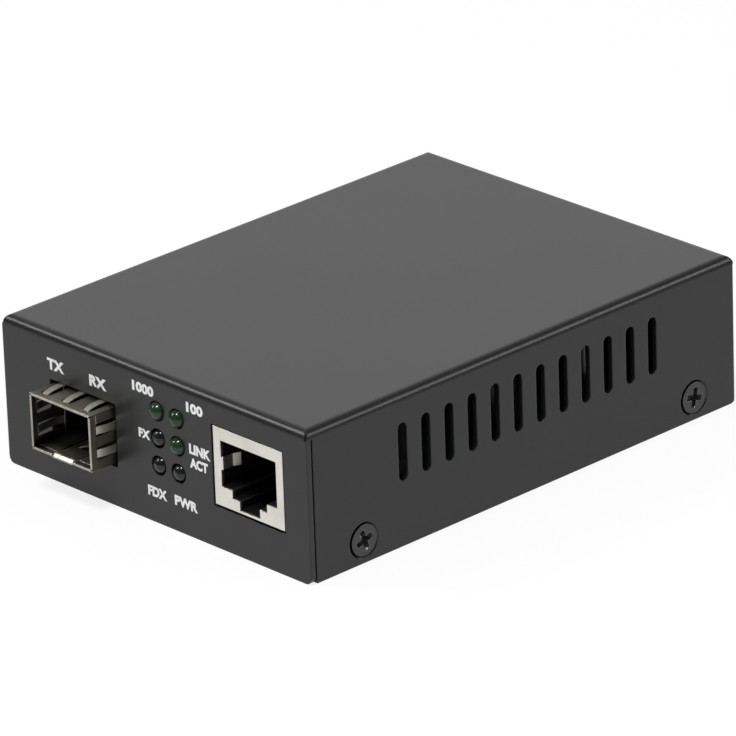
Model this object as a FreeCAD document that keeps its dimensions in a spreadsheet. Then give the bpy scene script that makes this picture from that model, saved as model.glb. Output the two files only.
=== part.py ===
import FreeCAD, Part
import math
import os
import Sketcher
from types import SimpleNamespace

# A small fibre media converter in a folded steel case, in millimetres.
# The origin is the centre of the case's underside, +Z is up and the port panel faces -Y.
# The case is a five-sided lid over a folded tray. The tray carries the circuit board on
# four standoffs, and everything that shows at the panel is mounted on the board.

# Driving sizes, one cell each in the sheet.
DRIVING = {
    # case
    "body_width": 71.0,
    "body_depth": 96.0,
    "body_height": 26.0,
    "cover_sheet": 1.0,
    "bend_radius": 1.5,
    "seam_gap": 0.35,
    "corner_round": 1.2,
    "edge_round": 0.5,
    "relief_width": 0.3,
    "relief_depth": 0.6,
    # how the free height inside the case is shared by the space under the board and the copper port
    "standoff_share": 0.2277,
    "jack_share": 0.6004,
    # vents, by their margins from the case's ends, its underside and its top
    "vent_count": 12,
    "vent_width": 2.0,
    "vent_front": 20.55,
    "vent_rear": 19.3,
    "vent_low": 11.1,
    "vent_high": 4.9,
    # tray
    "base_sheet": 1.0,
    "base_gap": 0.35,
    "base_flange": 9.0,
    # cover screws, at a share of the way from the tray's floor to the board
    "screw_share": 0.5686,
    "screw_front": 11.55,
    "screw_rear": 9.8,
    "screw_radius": 1.75,
    "screw_length": 5.0,
    "screw_head": 2.95,
    "screw_sink": 0.12,
    "screw_clearance": 0.05,
    "countersink_clearance": 0.2,
    # circuit board and what holds it
    "board_gap": 0.5,
    "board_end_gap": 0.6,
    "board_thickness": 1.6,
    "board_hole": 1.6,
    "standoff_hex": 2.9,
    "standoff_press": 0.01,
    "standoff_floor": 0.8,
    "standoff_inset": 7.0,
    "standoff_front": 26.0,
    "standoff_rear": 18.0,
    "board_screw_radius": 1.45,
    "pan_head_radius": 2.8,
    "pan_head_height": 1.9,
    "pan_screw_length": 5.0,
    # pluggable optics cage, its centre measured from the case's left side
    "sfp_margin": 18.9,
    "sfp_proud": 5.0,
    "cage_width": 14.0,
    "cage_height": 9.4,
    "cage_length": 48.5,
    "cage_sheet": 0.2,
    "cage_pin": 0.5,
    "cage_pin_length": 1.4,
    "cage_pin_count": 5,
    "cage_pin_first": 10.0,
    "cage_pin_last": 4.5,
    "pin_clearance": 0.1,
    "collar_sheet": 0.15,
    "collar_fit": 0.02,
    "collar_run": 8.2,
    "collar_floor": 5.8,
    "collar_rim": 1.3,
    "collar_grip": 1.3,
    "finger_length": 6.2,
    "finger_tail": 0.25,
    "finger_width": 1.7,
    "finger_slit": 0.3,
    "finger_bow": 0.5,
    "finger_pitch": 4.85,
    "finger_count": 3,
    "side_finger_width": 1.5,
    "side_finger_pitch": 4.0,
    "side_finger_count": 2,
    "side_finger_high": 2.9,
    "panel_gap": 0.62,
    "tongue_width": 4.6,
    "tongue_slit": 0.45,
    "tongue_run": 13.0,
    "tongue_drop": 0.58,
    "lip_run": 0.85,
    "latch_hole": 2.6,
    "latch_back": 3.4,
    "lip_overlap": 0.4,
    "host_gap": 0.3,
    "host_back": 1.0,
    "host_width": 12.6,
    "host_depth": 9.2,
    "host_height": 6.0,
    "host_slot_width": 9.4,
    "host_slot_height": 1.3,
    "host_slot_low": 2.9,
    "host_slot_depth": 7.0,
    "host_contact_count": 10,
    "host_contact_pitch": 0.8,
    "host_contact_width": 0.36,
    "host_contact_sheet": 0.25,
    "host_contact_inset": 0.6,
    "contact_clearance": 0.05,
    # copper port, its centre measured from the case's right side
    "jack_margin": 13.4,
    "jack_width": 15.8,
    "jack_depth": 21.0,
    "jack_proud": 0.05,
    "jack_sheet": 0.25,
    "jack_fit": 0.05,
    "jack_near_gap": 0.12,
    "jack_far_gap": 0.5,
    "plug_width": 12.65,
    "plug_low": 3.35,
    "plug_roof": 2.15,
    "plug_depth": 13.0,
    "key_width": 7.9,
    "key_height": 1.4,
    "latch_width": 4.6,
    "latch_height": 1.55,
    "spring_low": 6.2,
    "spring_height": 2.2,
    "spring_reach": 2.3,
    "spring_ramp": 1.3,
    "spring_bulge": 0.9,
    "wire_count": 8,
    "wire_pitch": 1.02,
    "wire_width": 0.4,
    "wire_sheet": 0.3,
    "wire_start": 2.4,
    "wire_drop": 4.4,
    "wire_run": 7.6,
    "wire_lift": 0.02,
    # lamps, in columns about a line midway between the ports and a little to its right
    "lamp_shift": 0.6,
    "lamp_column_pitch": 4.6,
    "lamp_row_share": 0.3494,
    "lamp_low_share": 0.1896,
    "lamp_radius": 1.5,
    "lamp_hole": 1.68,
    "lamp_length": 5.3,
    "lamp_bevel": 1.0,
    "lamp_proud": 1.15,
    "lamp_flush": 0.65,
    "lead_thickness": 0.5,
    "lead_pitch": 2.54,
    "lead_reach": 2.2,
    "lead_step": 2.6,
    "lead_tail": 1.4,
    "lead_room": 0.15,
    # power inlet, its centre measured from the case's right side
    "inlet_margin": 18.5,
    "inlet_width": 9.0,
    "inlet_height": 11.0,
    "inlet_depth": 14.2,
    "inlet_gap": 0.3,
    "inlet_axis": 6.4,
    "inlet_bore": 3.15,
    "inlet_bore_depth": 9.5,
    "inlet_pin": 1.0,
    "inlet_pin_back": 0.8,
    "leaf_width": 2.0,
    "leaf_sheet": 0.3,
    "leaf_room": 0.1,
    "leaf_bow": 0.35,
    "leaf_front": 1.6,
    "leaf_middle": 5.0,
    "leaf_back_gap": 0.2,
    # parts on the board; a share is of the way from the cage to the rear panel
    "chip_width": 7.0,
    "chip_height": 1.5,
    "chip_x": -4.0,
    "chip_share": 0.314,
    "chip_leads": 8,
    "chip_lead_pitch": 0.8,
    "chip_lead_width": 0.35,
    "transformer_width": 15.0,
    "transformer_depth": 7.6,
    "transformer_height": 5.8,
    "transformer_left": 5.5,
    "transformer_gap": 9.0,
    "transformer_leads": 8,
    "transformer_lead_pitch": 1.27,
    "transformer_lead_width": 0.4,
    "memory_width": 4.9,
    "memory_depth": 3.9,
    "memory_height": 1.5,
    "memory_x": -20.0,
    "memory_share": 0.238,
    "memory_leads": 4,
    "memory_lead_pitch": 1.27,
    "memory_lead_width": 0.42,
    "lead_foot": 1.0,
    "lead_sheet": 0.2,
    "lead_rise": 0.5,
    "chip_lift": 0.15,
    "chip_bevel": 0.2,
    "regulator_width": 6.5,
    "regulator_depth": 3.5,
    "regulator_height": 1.7,
    "regulator_x": 3.0,
    "regulator_share": 0.79,
    "crystal_width": 11.0,
    "crystal_depth": 4.6,
    "crystal_height": 3.6,
    "crystal_x": 10.5,
    "crystal_share": 0.2,
    "inductor_width": 7.3,
    "inductor_height": 4.2,
    "inductor_corner": 1.2,
    "inductor_x": 3.0,
    "inductor_share": 0.619,
    # capacitors, at shares of the way from the front to the rear standoffs
    "capacitor_radius": 4.0,
    "capacitor_height": 11.5,
    "capacitor_margin": 8.9,
    "capacitor_front_share": 0.444,
    "capacitor_rear_share": 0.808,
    # how far a cutter runs past what it cuts
    "past": 1.0,
}

doc = FreeCAD.newDocument("media_converter")
sheet = doc.addObject("Spreadsheet::Sheet", "Sizes")


class Size:
    """A length or count, as its number now and as the sheet formula that gives it."""

    def __init__(self, number, formula):
        self.number = number
        self.formula = formula

    def __add__(self, other):
        other = as_size(other)
        return Size(self.number + other.number, f"({self.formula} + {other.formula})")

    def __radd__(self, other):
        return as_size(other) + self

    def __sub__(self, other):
        other = as_size(other)
        return Size(self.number - other.number, f"({self.formula} - {other.formula})")

    def __rsub__(self, other):
        return as_size(other) - self

    def __mul__(self, other):
        other = as_size(other)
        return Size(self.number * other.number, f"({self.formula} * {other.formula})")

    def __rmul__(self, other):
        return as_size(other) * self

    def __truediv__(self, other):
        other = as_size(other)
        return Size(self.number / other.number, f"({self.formula} / {other.formula})")

    def __neg__(self):
        return Size(-self.number, f"(0 - {self.formula})")


def as_size(value):
    """A plain number as a size, and a size as it is."""
    if isinstance(value, Size):
        return value
    return Size(float(value), repr(float(value)))


def fill_sheet():
    """Write the driving sizes to the sheet, a name and a number in each row."""
    for row, (name, number) in enumerate(DRIVING.items(), start=1):
        sheet.set(f"A{row}", name)
        sheet.set(f"B{row}", str(number))
        sheet.setAlias(f"B{row}", name)
    doc.recompute()


fill_sheet()
mm = SimpleNamespace(**{name: Size(float(number), f"Sizes.{name}") for name, number in DRIVING.items()})

# Places that several pieces share.
front = -mm.body_depth / 2
rear = mm.body_depth / 2
side = mm.body_width / 2
free_height = mm.body_height - mm.cover_sheet - mm.base_sheet - mm.board_thickness
standoff_height = free_height * mm.standoff_share
jack_height = free_height * mm.jack_share
board_under = mm.base_sheet + standoff_height
board_top = board_under + mm.board_thickness
base_side = side - mm.cover_sheet - mm.base_gap
screw_height = mm.base_sheet + standoff_height * mm.screw_share
screw_places = (front + mm.screw_front, rear - mm.screw_rear)
standoff_x = side - mm.standoff_inset
standoff_places = [
    (x, y)
    for x in (-standoff_x, standoff_x)
    for y in (front + mm.standoff_front, rear - mm.standoff_rear)
]
sfp_centre = mm.sfp_margin - side
mouth = front - mm.sfp_proud
cage_rear = mouth + mm.cage_length
cage_pin_pitch = (mm.cage_length - mm.cage_pin_first - mm.cage_pin_last) / (mm.cage_pin_count - 1)
host_front = cage_rear - mm.host_back - mm.host_depth
jack_centre = side - mm.jack_margin
jack_front = front - mm.jack_proud
jack_rear = jack_front + mm.jack_depth
plug_bottom = board_top + mm.plug_low
plug_top = board_top + jack_height - mm.plug_roof
inlet_centre = side - mm.inlet_margin

nodes = []
facing = {}
NORMALS = {"XY": "+Z", "XZ": "-Y", "YZ": "+X"}
TURNS = {
    "+Z": FreeCAD.Rotation(),
    "-Z": FreeCAD.Rotation(FreeCAD.Vector(1, 0, 0), 180),
    "+Y": FreeCAD.Rotation(FreeCAD.Vector(1, 0, 0), -90),
    "-Y": FreeCAD.Rotation(FreeCAD.Vector(1, 0, 0), 90),
    "+X": FreeCAD.Rotation(FreeCAD.Vector(0, 1, 0), 90),
    "-X": FreeCAD.Rotation(FreeCAD.Vector(0, 1, 0), -90),
}


def bind(thing, path, size):
    """Tie one property to the formula of a size."""
    thing.setExpression(path, as_size(size).formula)


def finished(thing, label):
    """Name a sub-part and put it on the list of those that are written out."""
    thing.Label = label
    nodes.append(thing)
    return thing


def place(thing, x=0, y=0, z=0, turn="+Z"):
    """Put a piece at a point, with its own +Z turned to the given direction."""
    thing.Placement = FreeCAD.Placement(FreeCAD.Vector(), TURNS[turn])
    for axis, size in zip("xyz", (x, y, z)):
        bind(thing, f"Placement.Base.{axis}", size)
    return thing


# Part primitives and booleans.


def block(name, x, y, z):
    """Box between two values on each axis."""
    box = doc.addObject("Part::Box", name)
    for path, span in (("Length", x), ("Width", y), ("Height", z)):
        bind(box, path, as_size(span[1]) - span[0])
    return place(box, x[0], y[0], z[0])


def rod(name, radius, length, start, along="+Z"):
    """Cylinder from its start point along one axis."""
    cylinder = doc.addObject("Part::Cylinder", name)
    bind(cylinder, "Radius", radius)
    bind(cylinder, "Height", length)
    return place(cylinder, *start, turn=along)


def fuse(name, shapes):
    """One solid of several that touch or overlap."""
    joined = doc.addObject("Part::MultiFuse", name)
    joined.Shapes = shapes
    joined.Refine = True
    return joined


def cut(name, base, tool):
    """The base without the tool."""
    result = doc.addObject("Part::Cut", name)
    result.Base = base
    result.Tool = tool
    result.Refine = True
    return result


def group(name, shapes):
    """Separate solids kept together as one node."""
    compound = doc.addObject("Part::Compound", name)
    compound.Links = shapes
    return compound


def copy_of(master, name, x, y, z, turn):
    """The same piece again at another place, with its own +Z turned to a direction."""
    link = doc.addObject("App::Link", name)
    link.LinkedObject = master
    return place(link, x, y, z, turn)


# Part Design bodies, sketches and features.


def new_body(label, x=0, listed=True):
    """Body that is modelled about its own middle plane and stands at x."""
    body = doc.addObject("PartDesign::Body", label)
    body.Label = label
    bind(body, "Placement.Base.x", x)
    if listed:
        nodes.append(body)
    return body


def origin_part(body, role):
    """One of the body's own base planes or axes."""
    return next(item for item in body.Origin.OriginFeatures if item.Role == role)


def sketch_on(body, plane, at, name):
    """Sketch on a base plane that is moved along its axis to the value at."""
    sketch = body.newObject("Sketcher::SketchObject", name)
    sketch.AttachmentSupport = (origin_part(body, f"{plane}_Plane"), [""])
    sketch.MapMode = "FlatFace"
    bind(sketch, "AttachmentOffset.Base.z", -as_size(at) if plane == "XZ" else at)
    facing[sketch.Name] = NORMALS[plane]
    return sketch


def hold(sketch, kind, places, size):
    """Dimension in a sketch, tied to the sheet."""
    size = as_size(size)
    index = sketch.addConstraint(Sketcher.Constraint(kind, *places, size.number))
    sketch.setExpression(f"Constraints[{index}]", size.formula)


def hold_point(sketch, geometry, point, u, v):
    """Fix a point of a sketch by its distances from the sketch's origin."""
    hold(sketch, "DistanceX", (-1, 1, geometry, point), u)
    hold(sketch, "DistanceY", (-1, 1, geometry, point), v)


def polygon(sketch, corners, arcs=None):
    """Closed outline through the corners.

    arcs gives the radius of each side that is an arc, by the number of the corner it
    starts from: above zero it bulges to the right of the way round, below zero to the left.
    """
    arcs = arcs or {}
    corners = [(as_size(u), as_size(v)) for u, v in corners]
    points = [FreeCAD.Vector(u.number, v.number, 0) for u, v in corners]
    ends = []
    for number, begin in enumerate(points):
        end = points[(number + 1) % len(points)]
        if number not in arcs:
            ends.append((sketch.addGeometry(Part.LineSegment(begin, end)), 1, 2))
            continue
        radius = arcs[number]
        first, last = (begin, end) if radius.number > 0 else (end, begin)
        size = abs(radius.number)
        chord = last - first
        left = FreeCAD.Vector(-chord.y, chord.x, 0).normalize()
        centre = (first + last) * 0.5 + left * math.sqrt(size ** 2 - (chord.Length / 2) ** 2)
        start_angle = math.atan2(first.y - centre.y, first.x - centre.x)
        end_angle = math.atan2(last.y - centre.y, last.x - centre.x)
        if end_angle < start_angle:
            end_angle += 2 * math.pi
        circle = Part.Circle(centre, FreeCAD.Vector(0, 0, 1), size)
        geometry = sketch.addGeometry(Part.ArcOfCircle(circle, start_angle, end_angle))
        hold(sketch, "Radius", (geometry,), radius if radius.number > 0 else -radius)
        ends.append((geometry, 1, 2) if radius.number > 0 else (geometry, 2, 1))
    for number, (geometry, start, _) in enumerate(ends):
        before, _, end = ends[number - 1]
        sketch.addConstraint(Sketcher.Constraint("Coincident", before, end, geometry, start))
        hold_point(sketch, geometry, start, *corners[number])


def rectangle(sketch, u, v):
    """Rectangle between two values each way."""
    polygon(sketch, [(u[0], v[0]), (u[1], v[0]), (u[1], v[1]), (u[0], v[1])])


def circle(sketch, u, v, radius):
    """Circle at a point."""
    u, v, radius = as_size(u), as_size(v), as_size(radius)
    centre = FreeCAD.Vector(u.number, v.number, 0)
    ring = Part.Circle(centre, FreeCAD.Vector(0, 0, 1), radius.number)
    geometry = sketch.addGeometry(ring)
    hold(sketch, "Radius", (geometry,), radius)
    hold_point(sketch, geometry, 3, u, v)


def slot(sketch, u, low, high, width, sides=6):
    """Upright slot with half-round ends of six straight sides each, to keep a long row of them light."""
    radius = width / 2
    corners = []
    for centre, start in ((high - radius, 0.0), (low + radius, math.pi)):
        for step in range(sides + 1):
            angle = start + math.pi * step / sides
            corners.append((u + radius * math.cos(angle), centre + radius * math.sin(angle)))
    polygon(sketch, corners)


def hexagon(sketch, x, y, radius):
    """Hexagon at a point, with two of its corners along u."""
    polygon(sketch, [
        (x + radius * math.cos(math.pi * step / 3), y + radius * math.sin(math.pi * step / 3))
        for step in range(6)
    ])


def add(kind, body, sketch, length, towards, taper=0):
    """Pad or pocket towards a direction, or half each way for towards = both."""
    feature = body.newObject(f"PartDesign::{kind}", f"{sketch.Name}_{kind.lower()}")
    feature.Profile = sketch
    bind(feature, "Length", length)
    if towards == "both":
        feature.SideType = "Symmetric"
    else:
        along_normal = towards == facing[sketch.Name]
        feature.Reversed = along_normal if kind == "Pocket" else not along_normal
    feature.TaperAngle = taper
    sketch.Visibility = False
    body.Tip = feature
    return feature


def pad(body, sketch, length, towards):
    return add("Pad", body, sketch, length, towards)


def pocket(body, sketch, length, towards, taper=0):
    return add("Pocket", body, sketch, length, towards, taper)


def revolve(body, sketch):
    """Full turn of a half section about its sketch's own upright axis."""
    solid = body.newObject("PartDesign::Revolution", f"{sketch.Name}_turned")
    solid.Profile = sketch
    solid.ReferenceAxis = (sketch, ["V_Axis"])
    solid.Angle = 360
    sketch.Visibility = False
    body.Tip = solid
    return body


def fillet(body, feature, radius, wanted):
    """Round the edges whose middle point, direction and length pass a test."""
    doc.recompute()
    names = []
    for number, edge in enumerate(feature.Shape.Edges, start=1):
        middle = edge.valueAt((edge.FirstParameter + edge.LastParameter) / 2)
        if wanted(middle, edge):
            names.append(f"Edge{number}")
    rounded = body.newObject("PartDesign::Fillet", f"{feature.Name}_round")
    rounded.Base = (feature, names)
    bind(rounded, "Radius", radius)
    body.Tip = rounded
    return rounded


def repeat(body, feature, axis, pitch, count):
    """Row of a feature along one of the body's axes."""
    pattern = body.newObject("PartDesign::LinearPattern", f"{feature.Name}_row")
    pattern.Originals = [feature]
    pattern.Direction = (origin_part(body, f"{axis}_Axis"), [""])
    bind(pattern, "Length", pitch * (count - 1))
    bind(pattern, "Occurrences", count)
    body.Tip = pattern
    return pattern


def mirror(body, features):
    """The same features on the other side of the body's middle plane."""
    mirrored = body.newObject("PartDesign::Mirrored", f"{features[0].Name}_mirror")
    mirrored.Originals = features
    mirrored.MirrorPlane = (origin_part(body, "YZ_Plane"), [""])
    body.Tip = mirrored
    return mirrored


def near(a, b):
    return abs(a - as_size(b).number) < 0.01


# Port panel outlines, shared by the lid and by what comes through it.

collar_side = mm.cage_width / 2 + mm.collar_fit + mm.collar_sheet
collar_low = board_top - mm.collar_fit - mm.collar_sheet
collar_high = board_top + mm.cage_height + mm.collar_fit + mm.collar_sheet
lamp_centre = (sfp_centre + jack_centre) / 2 + mm.lamp_shift
lamp_columns = (lamp_centre - mm.lamp_column_pitch / 2, lamp_centre + mm.lamp_column_pitch / 2)
lamp_rows = [board_top + jack_height * (mm.lamp_low_share + mm.lamp_row_share * row) for row in range(3)]
inlet_level = board_top + mm.inlet_axis


def plug_outline(sketch, margin=0):
    """Keyed outline of the copper port: plug, shoulder and latch, with the latch below."""
    half = mm.plug_width / 2 + margin
    key = mm.key_width / 2 + margin
    latch = mm.latch_width / 2 + margin
    shoulder = plug_bottom - mm.key_height - margin
    floor = plug_bottom - mm.key_height - mm.latch_height - margin
    right = [(latch, floor), (latch, shoulder), (key, shoulder), (key, plug_bottom - margin)]
    right += [(half, plug_bottom - margin), (half, plug_top + margin)]
    left = [(-u, v) for u, v in reversed(right)]
    polygon(sketch, right + left)


# Case.


def top_cover():
    """Lid folded from one sheet: the port panel overlaps the sides, and the rear panel lies between them."""
    body = new_body("top_cover")
    outline = sketch_on(body, "XY", 0, "lid_outline")
    rectangle(outline, (-side, side), (front, rear))
    shell = pad(body, outline, mm.body_height, "+Z")
    top = mm.body_height
    bends = fillet(body, shell, mm.bend_radius, lambda middle, edge: near(middle.z, top))

    inside = sketch_on(body, "XY", 0, "lid_inside")
    inner_side = side - mm.cover_sheet
    inner_end = rear - mm.cover_sheet
    rectangle(inside, (-inner_side, inner_side), (-inner_end, inner_end))
    hollow = pocket(body, inside, mm.body_height - mm.cover_sheet, "+Z")
    ceiling = mm.body_height - mm.cover_sheet
    fillet(body, hollow, mm.bend_radius - mm.cover_sheet, lambda middle, edge: near(middle.z, ceiling))

    seams = sketch_on(body, "XY", 0, "corner_seams")
    beyond = side + mm.past
    start = front + mm.cover_sheet
    rectangle(seams, (-beyond, beyond), (start, start + mm.seam_gap))
    rectangle(seams, (inner_side - mm.seam_gap, inner_side), (inner_end - mm.past, rear + mm.past))
    rectangle(seams, (-inner_side, mm.seam_gap - inner_side), (inner_end - mm.past, rear + mm.past))
    pocket(body, seams, mm.body_height - mm.bend_radius, "+Z")

    # the rear ends of the sides are bare sheet edges, rounded off upright and at their lower corner
    rounds = sketch_on(body, "XY", 0, "rear_edge_rounds")
    for x_sign in (-1, 1):
        polygon(rounds, [
            (x_sign * side, rear - mm.edge_round),
            (x_sign * (side - mm.edge_round), rear),
            (x_sign * (side - mm.edge_round), rear + mm.past),
            (x_sign * (side + mm.past), rear + mm.past),
            (x_sign * (side + mm.past), rear - mm.edge_round),
        ], {0: mm.edge_round * x_sign})
    pocket(body, rounds, mm.body_height - mm.bend_radius, "+Z")
    lower = sketch_on(body, "YZ", side, "rear_corner_rounds")
    polygon(lower, [
        (rear, mm.corner_round),
        (rear - mm.corner_round, 0),
        (rear - mm.corner_round, -mm.past),
        (rear + mm.past, -mm.past),
        (rear + mm.past, mm.corner_round),
    ], {0: -mm.corner_round})
    right_lower = pocket(body, lower, mm.cover_sheet + mm.seam_gap / 2, "-X")
    mirror(body, [right_lower])

    # each top corner is open along its diagonal, where the blank was relieved for the bends
    reliefs = sketch_on(body, "XY", mm.body_height, "corner_reliefs")
    half = mm.relief_width / 2 / math.sqrt(2)
    for x_sign in (-1, 1):
        for y_sign in (-1, 1):
            corners = []
            for inward, across in ((-half, -1), (-half, 1), (mm.relief_depth, 1), (mm.relief_depth, -1)):
                corners.append((
                    x_sign * (side - inward + half * across),
                    y_sign * (rear - inward - half * across),
                ))
            polygon(reliefs, corners)
    pocket(body, reliefs, mm.bend_radius, "-Z")

    panel = sketch_on(body, "XZ", front, "port_panel")
    rectangle(
        panel,
        (sfp_centre - collar_side - mm.panel_gap, sfp_centre + collar_side + mm.panel_gap),
        (collar_low - mm.panel_gap, collar_high + mm.panel_gap),
    )
    jack_side = mm.jack_width / 2
    rectangle(
        panel,
        (jack_centre - jack_side - mm.jack_far_gap, jack_centre + jack_side + mm.jack_near_gap),
        (board_top - mm.jack_far_gap, board_top + jack_height + mm.jack_near_gap),
    )
    for column in lamp_columns:
        for row in lamp_rows:
            circle(panel, column, row, mm.lamp_hole)
    pocket(body, panel, mm.cover_sheet * 1.5, "+Y")

    back = sketch_on(body, "XZ", rear, "rear_panel")
    inlet_side = mm.inlet_width / 2 + mm.inlet_gap
    rectangle(
        back,
        (inlet_centre - inlet_side, inlet_centre + inlet_side),
        (board_top - mm.inlet_gap, board_top + mm.inlet_height + mm.inlet_gap),
    )
    pocket(body, back, mm.cover_sheet * 1.5, "-Y")

    vents = sketch_on(body, "YZ", 0, "vent")
    slot(vents, front + mm.vent_front, mm.vent_low, mm.body_height - mm.vent_high, mm.vent_width)
    first_vent = pocket(body, vents, mm.body_width + mm.past, "both")
    pitch = (mm.body_depth - mm.vent_front - mm.vent_rear) / (mm.vent_count - 1)
    repeat(body, first_vent, "Y", pitch, mm.vent_count)

    sinks = sketch_on(body, "YZ", side, "cover_countersinks")
    for y in screw_places:
        circle(sinks, y, screw_height, mm.screw_head + mm.countersink_clearance)
    right_sinks = pocket(body, sinks, mm.cover_sheet, "-X", taper=-45)
    holes = mirror(body, [right_sinks])

    def lower_corner(middle, edge):
        at_end = near(abs(middle.x), side) and near(middle.z, 0)
        return at_end and edge.Length < mm.cover_sheet.number * 1.1

    fillet(body, holes, mm.corner_round, lower_corner)
    return body


def base_plate():
    """Tray: a floor with both sides turned up inside the lid, where they take the cover screws."""
    body = new_body("base_plate")
    base_end = rear - mm.cover_sheet - mm.base_gap
    outline = sketch_on(body, "XY", 0, "tray_outline")
    rectangle(outline, (-base_side, base_side), (-base_end, base_end))
    blank = pad(body, outline, mm.base_flange, "+Z")

    def outer_bend(middle, edge):
        return near(middle.z, 0) and near(abs(middle.x), base_side)

    fillet(body, blank, mm.bend_radius, outer_bend)
    inside = sketch_on(body, "XY", mm.base_sheet, "tray_inside")
    inner = base_side - mm.base_sheet
    rectangle(inside, (-inner, inner), (-base_end - mm.past, base_end + mm.past))
    channel = pocket(body, inside, mm.base_flange, "+Z")

    def inner_bend(middle, edge):
        return near(middle.z, mm.base_sheet) and near(abs(middle.x), inner)

    fillet(body, channel, mm.bend_radius - mm.base_sheet, inner_bend)

    threads = sketch_on(body, "YZ", 0, "screw_threads")
    for y in screw_places:
        circle(threads, y, screw_height, mm.screw_radius + mm.screw_clearance)
    pocket(body, threads, base_side * 2 + mm.past, "both")

    seats = sketch_on(body, "XY", mm.base_sheet, "standoff_seats")
    for x, y in standoff_places:
        hexagon(seats, x, y, mm.standoff_hex + mm.standoff_press)
    pocket(body, seats, mm.base_sheet, "-Z")
    return body


def turned(name, corners):
    """Screw turned about its own +Z from a half section, head down: z = 0 is the head's outer face."""
    body = new_body(name, listed=False)
    half = sketch_on(body, "XZ", 0, f"{name}_section")
    polygon(half, corners)
    return revolve(body, half)


def cover_screws():
    """Four countersunk screws, two in each side of the lid."""
    master = turned("cover_screw", [
        (0, 0), (mm.screw_head, 0), (mm.screw_radius, mm.screw_head - mm.screw_radius),
        (mm.screw_radius, mm.screw_length), (0, mm.screw_length),
    ])
    inset = side - mm.screw_sink
    copies = []
    for x, turn in ((inset, "-X"), (-inset, "+X")):
        for y in screw_places:
            copies.append(copy_of(master, "cover_screw_copy", x, y, screw_height, turn))
    return finished(group("cover_screw_set", copies), "cover_screws")


def board_standoffs():
    """Hexagonal pillars whose feet are pressed into the tray's floor."""
    pillars = []
    bore = mm.board_screw_radius + mm.screw_clearance
    for x, y in standoff_places:
        prism = doc.addObject("Part::Prism", "pillar_hex")
        prism.Polygon = 6
        bind(prism, "Circumradius", mm.standoff_hex)
        bind(prism, "Height", board_under)
        place(prism, x, y, 0)
        hole = rod("pillar_bore", bore, board_under, (x, y, mm.standoff_floor))
        pillars.append(cut("pillar", prism, hole))
    return finished(group("pillar_set", pillars), "board_standoffs")


def board_screws():
    """Pan head screws that hold the board on its standoffs."""
    end = mm.pan_head_height + mm.pan_screw_length
    master = turned("board_screw", [
        (0, 0), (mm.pan_head_radius, 0), (mm.pan_head_radius, mm.pan_head_height),
        (mm.board_screw_radius, mm.pan_head_height), (mm.board_screw_radius, end), (0, end),
    ])
    top = board_top + mm.pan_head_height
    copies = [copy_of(master, "board_screw_copy", x, y, top, "-Z") for x, y in standoff_places]
    return finished(group("board_screw_set", copies), "board_screws")


# Circuit board.


def lead_rows():
    """Depth at which each lamp row's leads turn down, the lowest row foremost."""
    lens_back = front - mm.lamp_flush + mm.lamp_length
    return [lens_back + mm.lead_reach + mm.lead_step * row for row in range(3)]


def circuit_board():
    body = new_body("circuit_board")
    half = base_side - mm.base_sheet - mm.board_gap
    end = rear - mm.cover_sheet - mm.board_end_gap
    outline = sketch_on(body, "XY", board_under, "board_outline")
    rectangle(outline, (-half, half), (-end, end))
    pad(body, outline, mm.board_thickness, "+Z")
    holes = sketch_on(body, "XY", board_top, "board_holes")
    for x, y in standoff_places:
        circle(holes, x, y, mm.board_hole)
    room = mm.lead_thickness / 2 + mm.lead_room
    for column in lamp_columns:
        for y in lead_rows():
            for x in (column - mm.lead_pitch / 2, column + mm.lead_pitch / 2):
                rectangle(holes, (x - room, x + room), (y - room, y + room))
    pocket(body, holes, mm.board_thickness, "-Z")
    pins = sketch_on(body, "XY", board_top, "cage_pin_holes")
    pin_y = mouth + mm.cage_pin_first
    room = mm.cage_pin / 2 + mm.pin_clearance
    wall = mm.cage_width / 2
    for x in (sfp_centre - wall, sfp_centre + wall - mm.cage_sheet):
        span = (x - mm.pin_clearance, x + mm.cage_sheet + mm.pin_clearance)
        rectangle(pins, span, (pin_y - room, pin_y + room))
    first_pins = pocket(body, pins, mm.board_thickness, "-Z")
    repeat(body, first_pins, "Y", cage_pin_pitch, mm.cage_pin_count)
    return body


# Cage for the pluggable optics.


def sfp_cage_body():
    """Top, sides and back of the cage, folded from one thin sheet, with press-fit pins.

    Its front end is gripped by the rear edge of the spring collar, which forms the mouth.
    """
    body = new_body("sfp_cage_body", sfp_centre)
    start = mouth + mm.collar_run - mm.collar_grip
    half = mm.cage_width / 2
    outline = sketch_on(body, "XZ", start, "cage_section")
    rectangle(outline, (-half, half), (board_top, board_top + mm.cage_height))
    pad(body, outline, cage_rear - start, "+Y")
    inside = sketch_on(body, "XY", board_top, "cage_inside")
    inner = half - mm.cage_sheet
    rectangle(inside, (-inner, inner), (start - mm.past, cage_rear - mm.cage_sheet))
    pocket(body, inside, mm.cage_height - mm.cage_sheet, "+Z")
    pins = sketch_on(body, "XY", board_top, "cage_pins")
    pin_y = mouth + mm.cage_pin_first
    for sign in (-1, 1):
        walls = sorted((sign * inner, sign * half), key=lambda size: size.number)
        rectangle(pins, walls, (pin_y - mm.cage_pin / 2, pin_y + mm.cage_pin / 2))
    first_pins = pad(body, pins, mm.cage_pin_length, "-Z")
    repeat(body, first_pins, "Y", cage_pin_pitch, mm.cage_pin_count)
    return body


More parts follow.
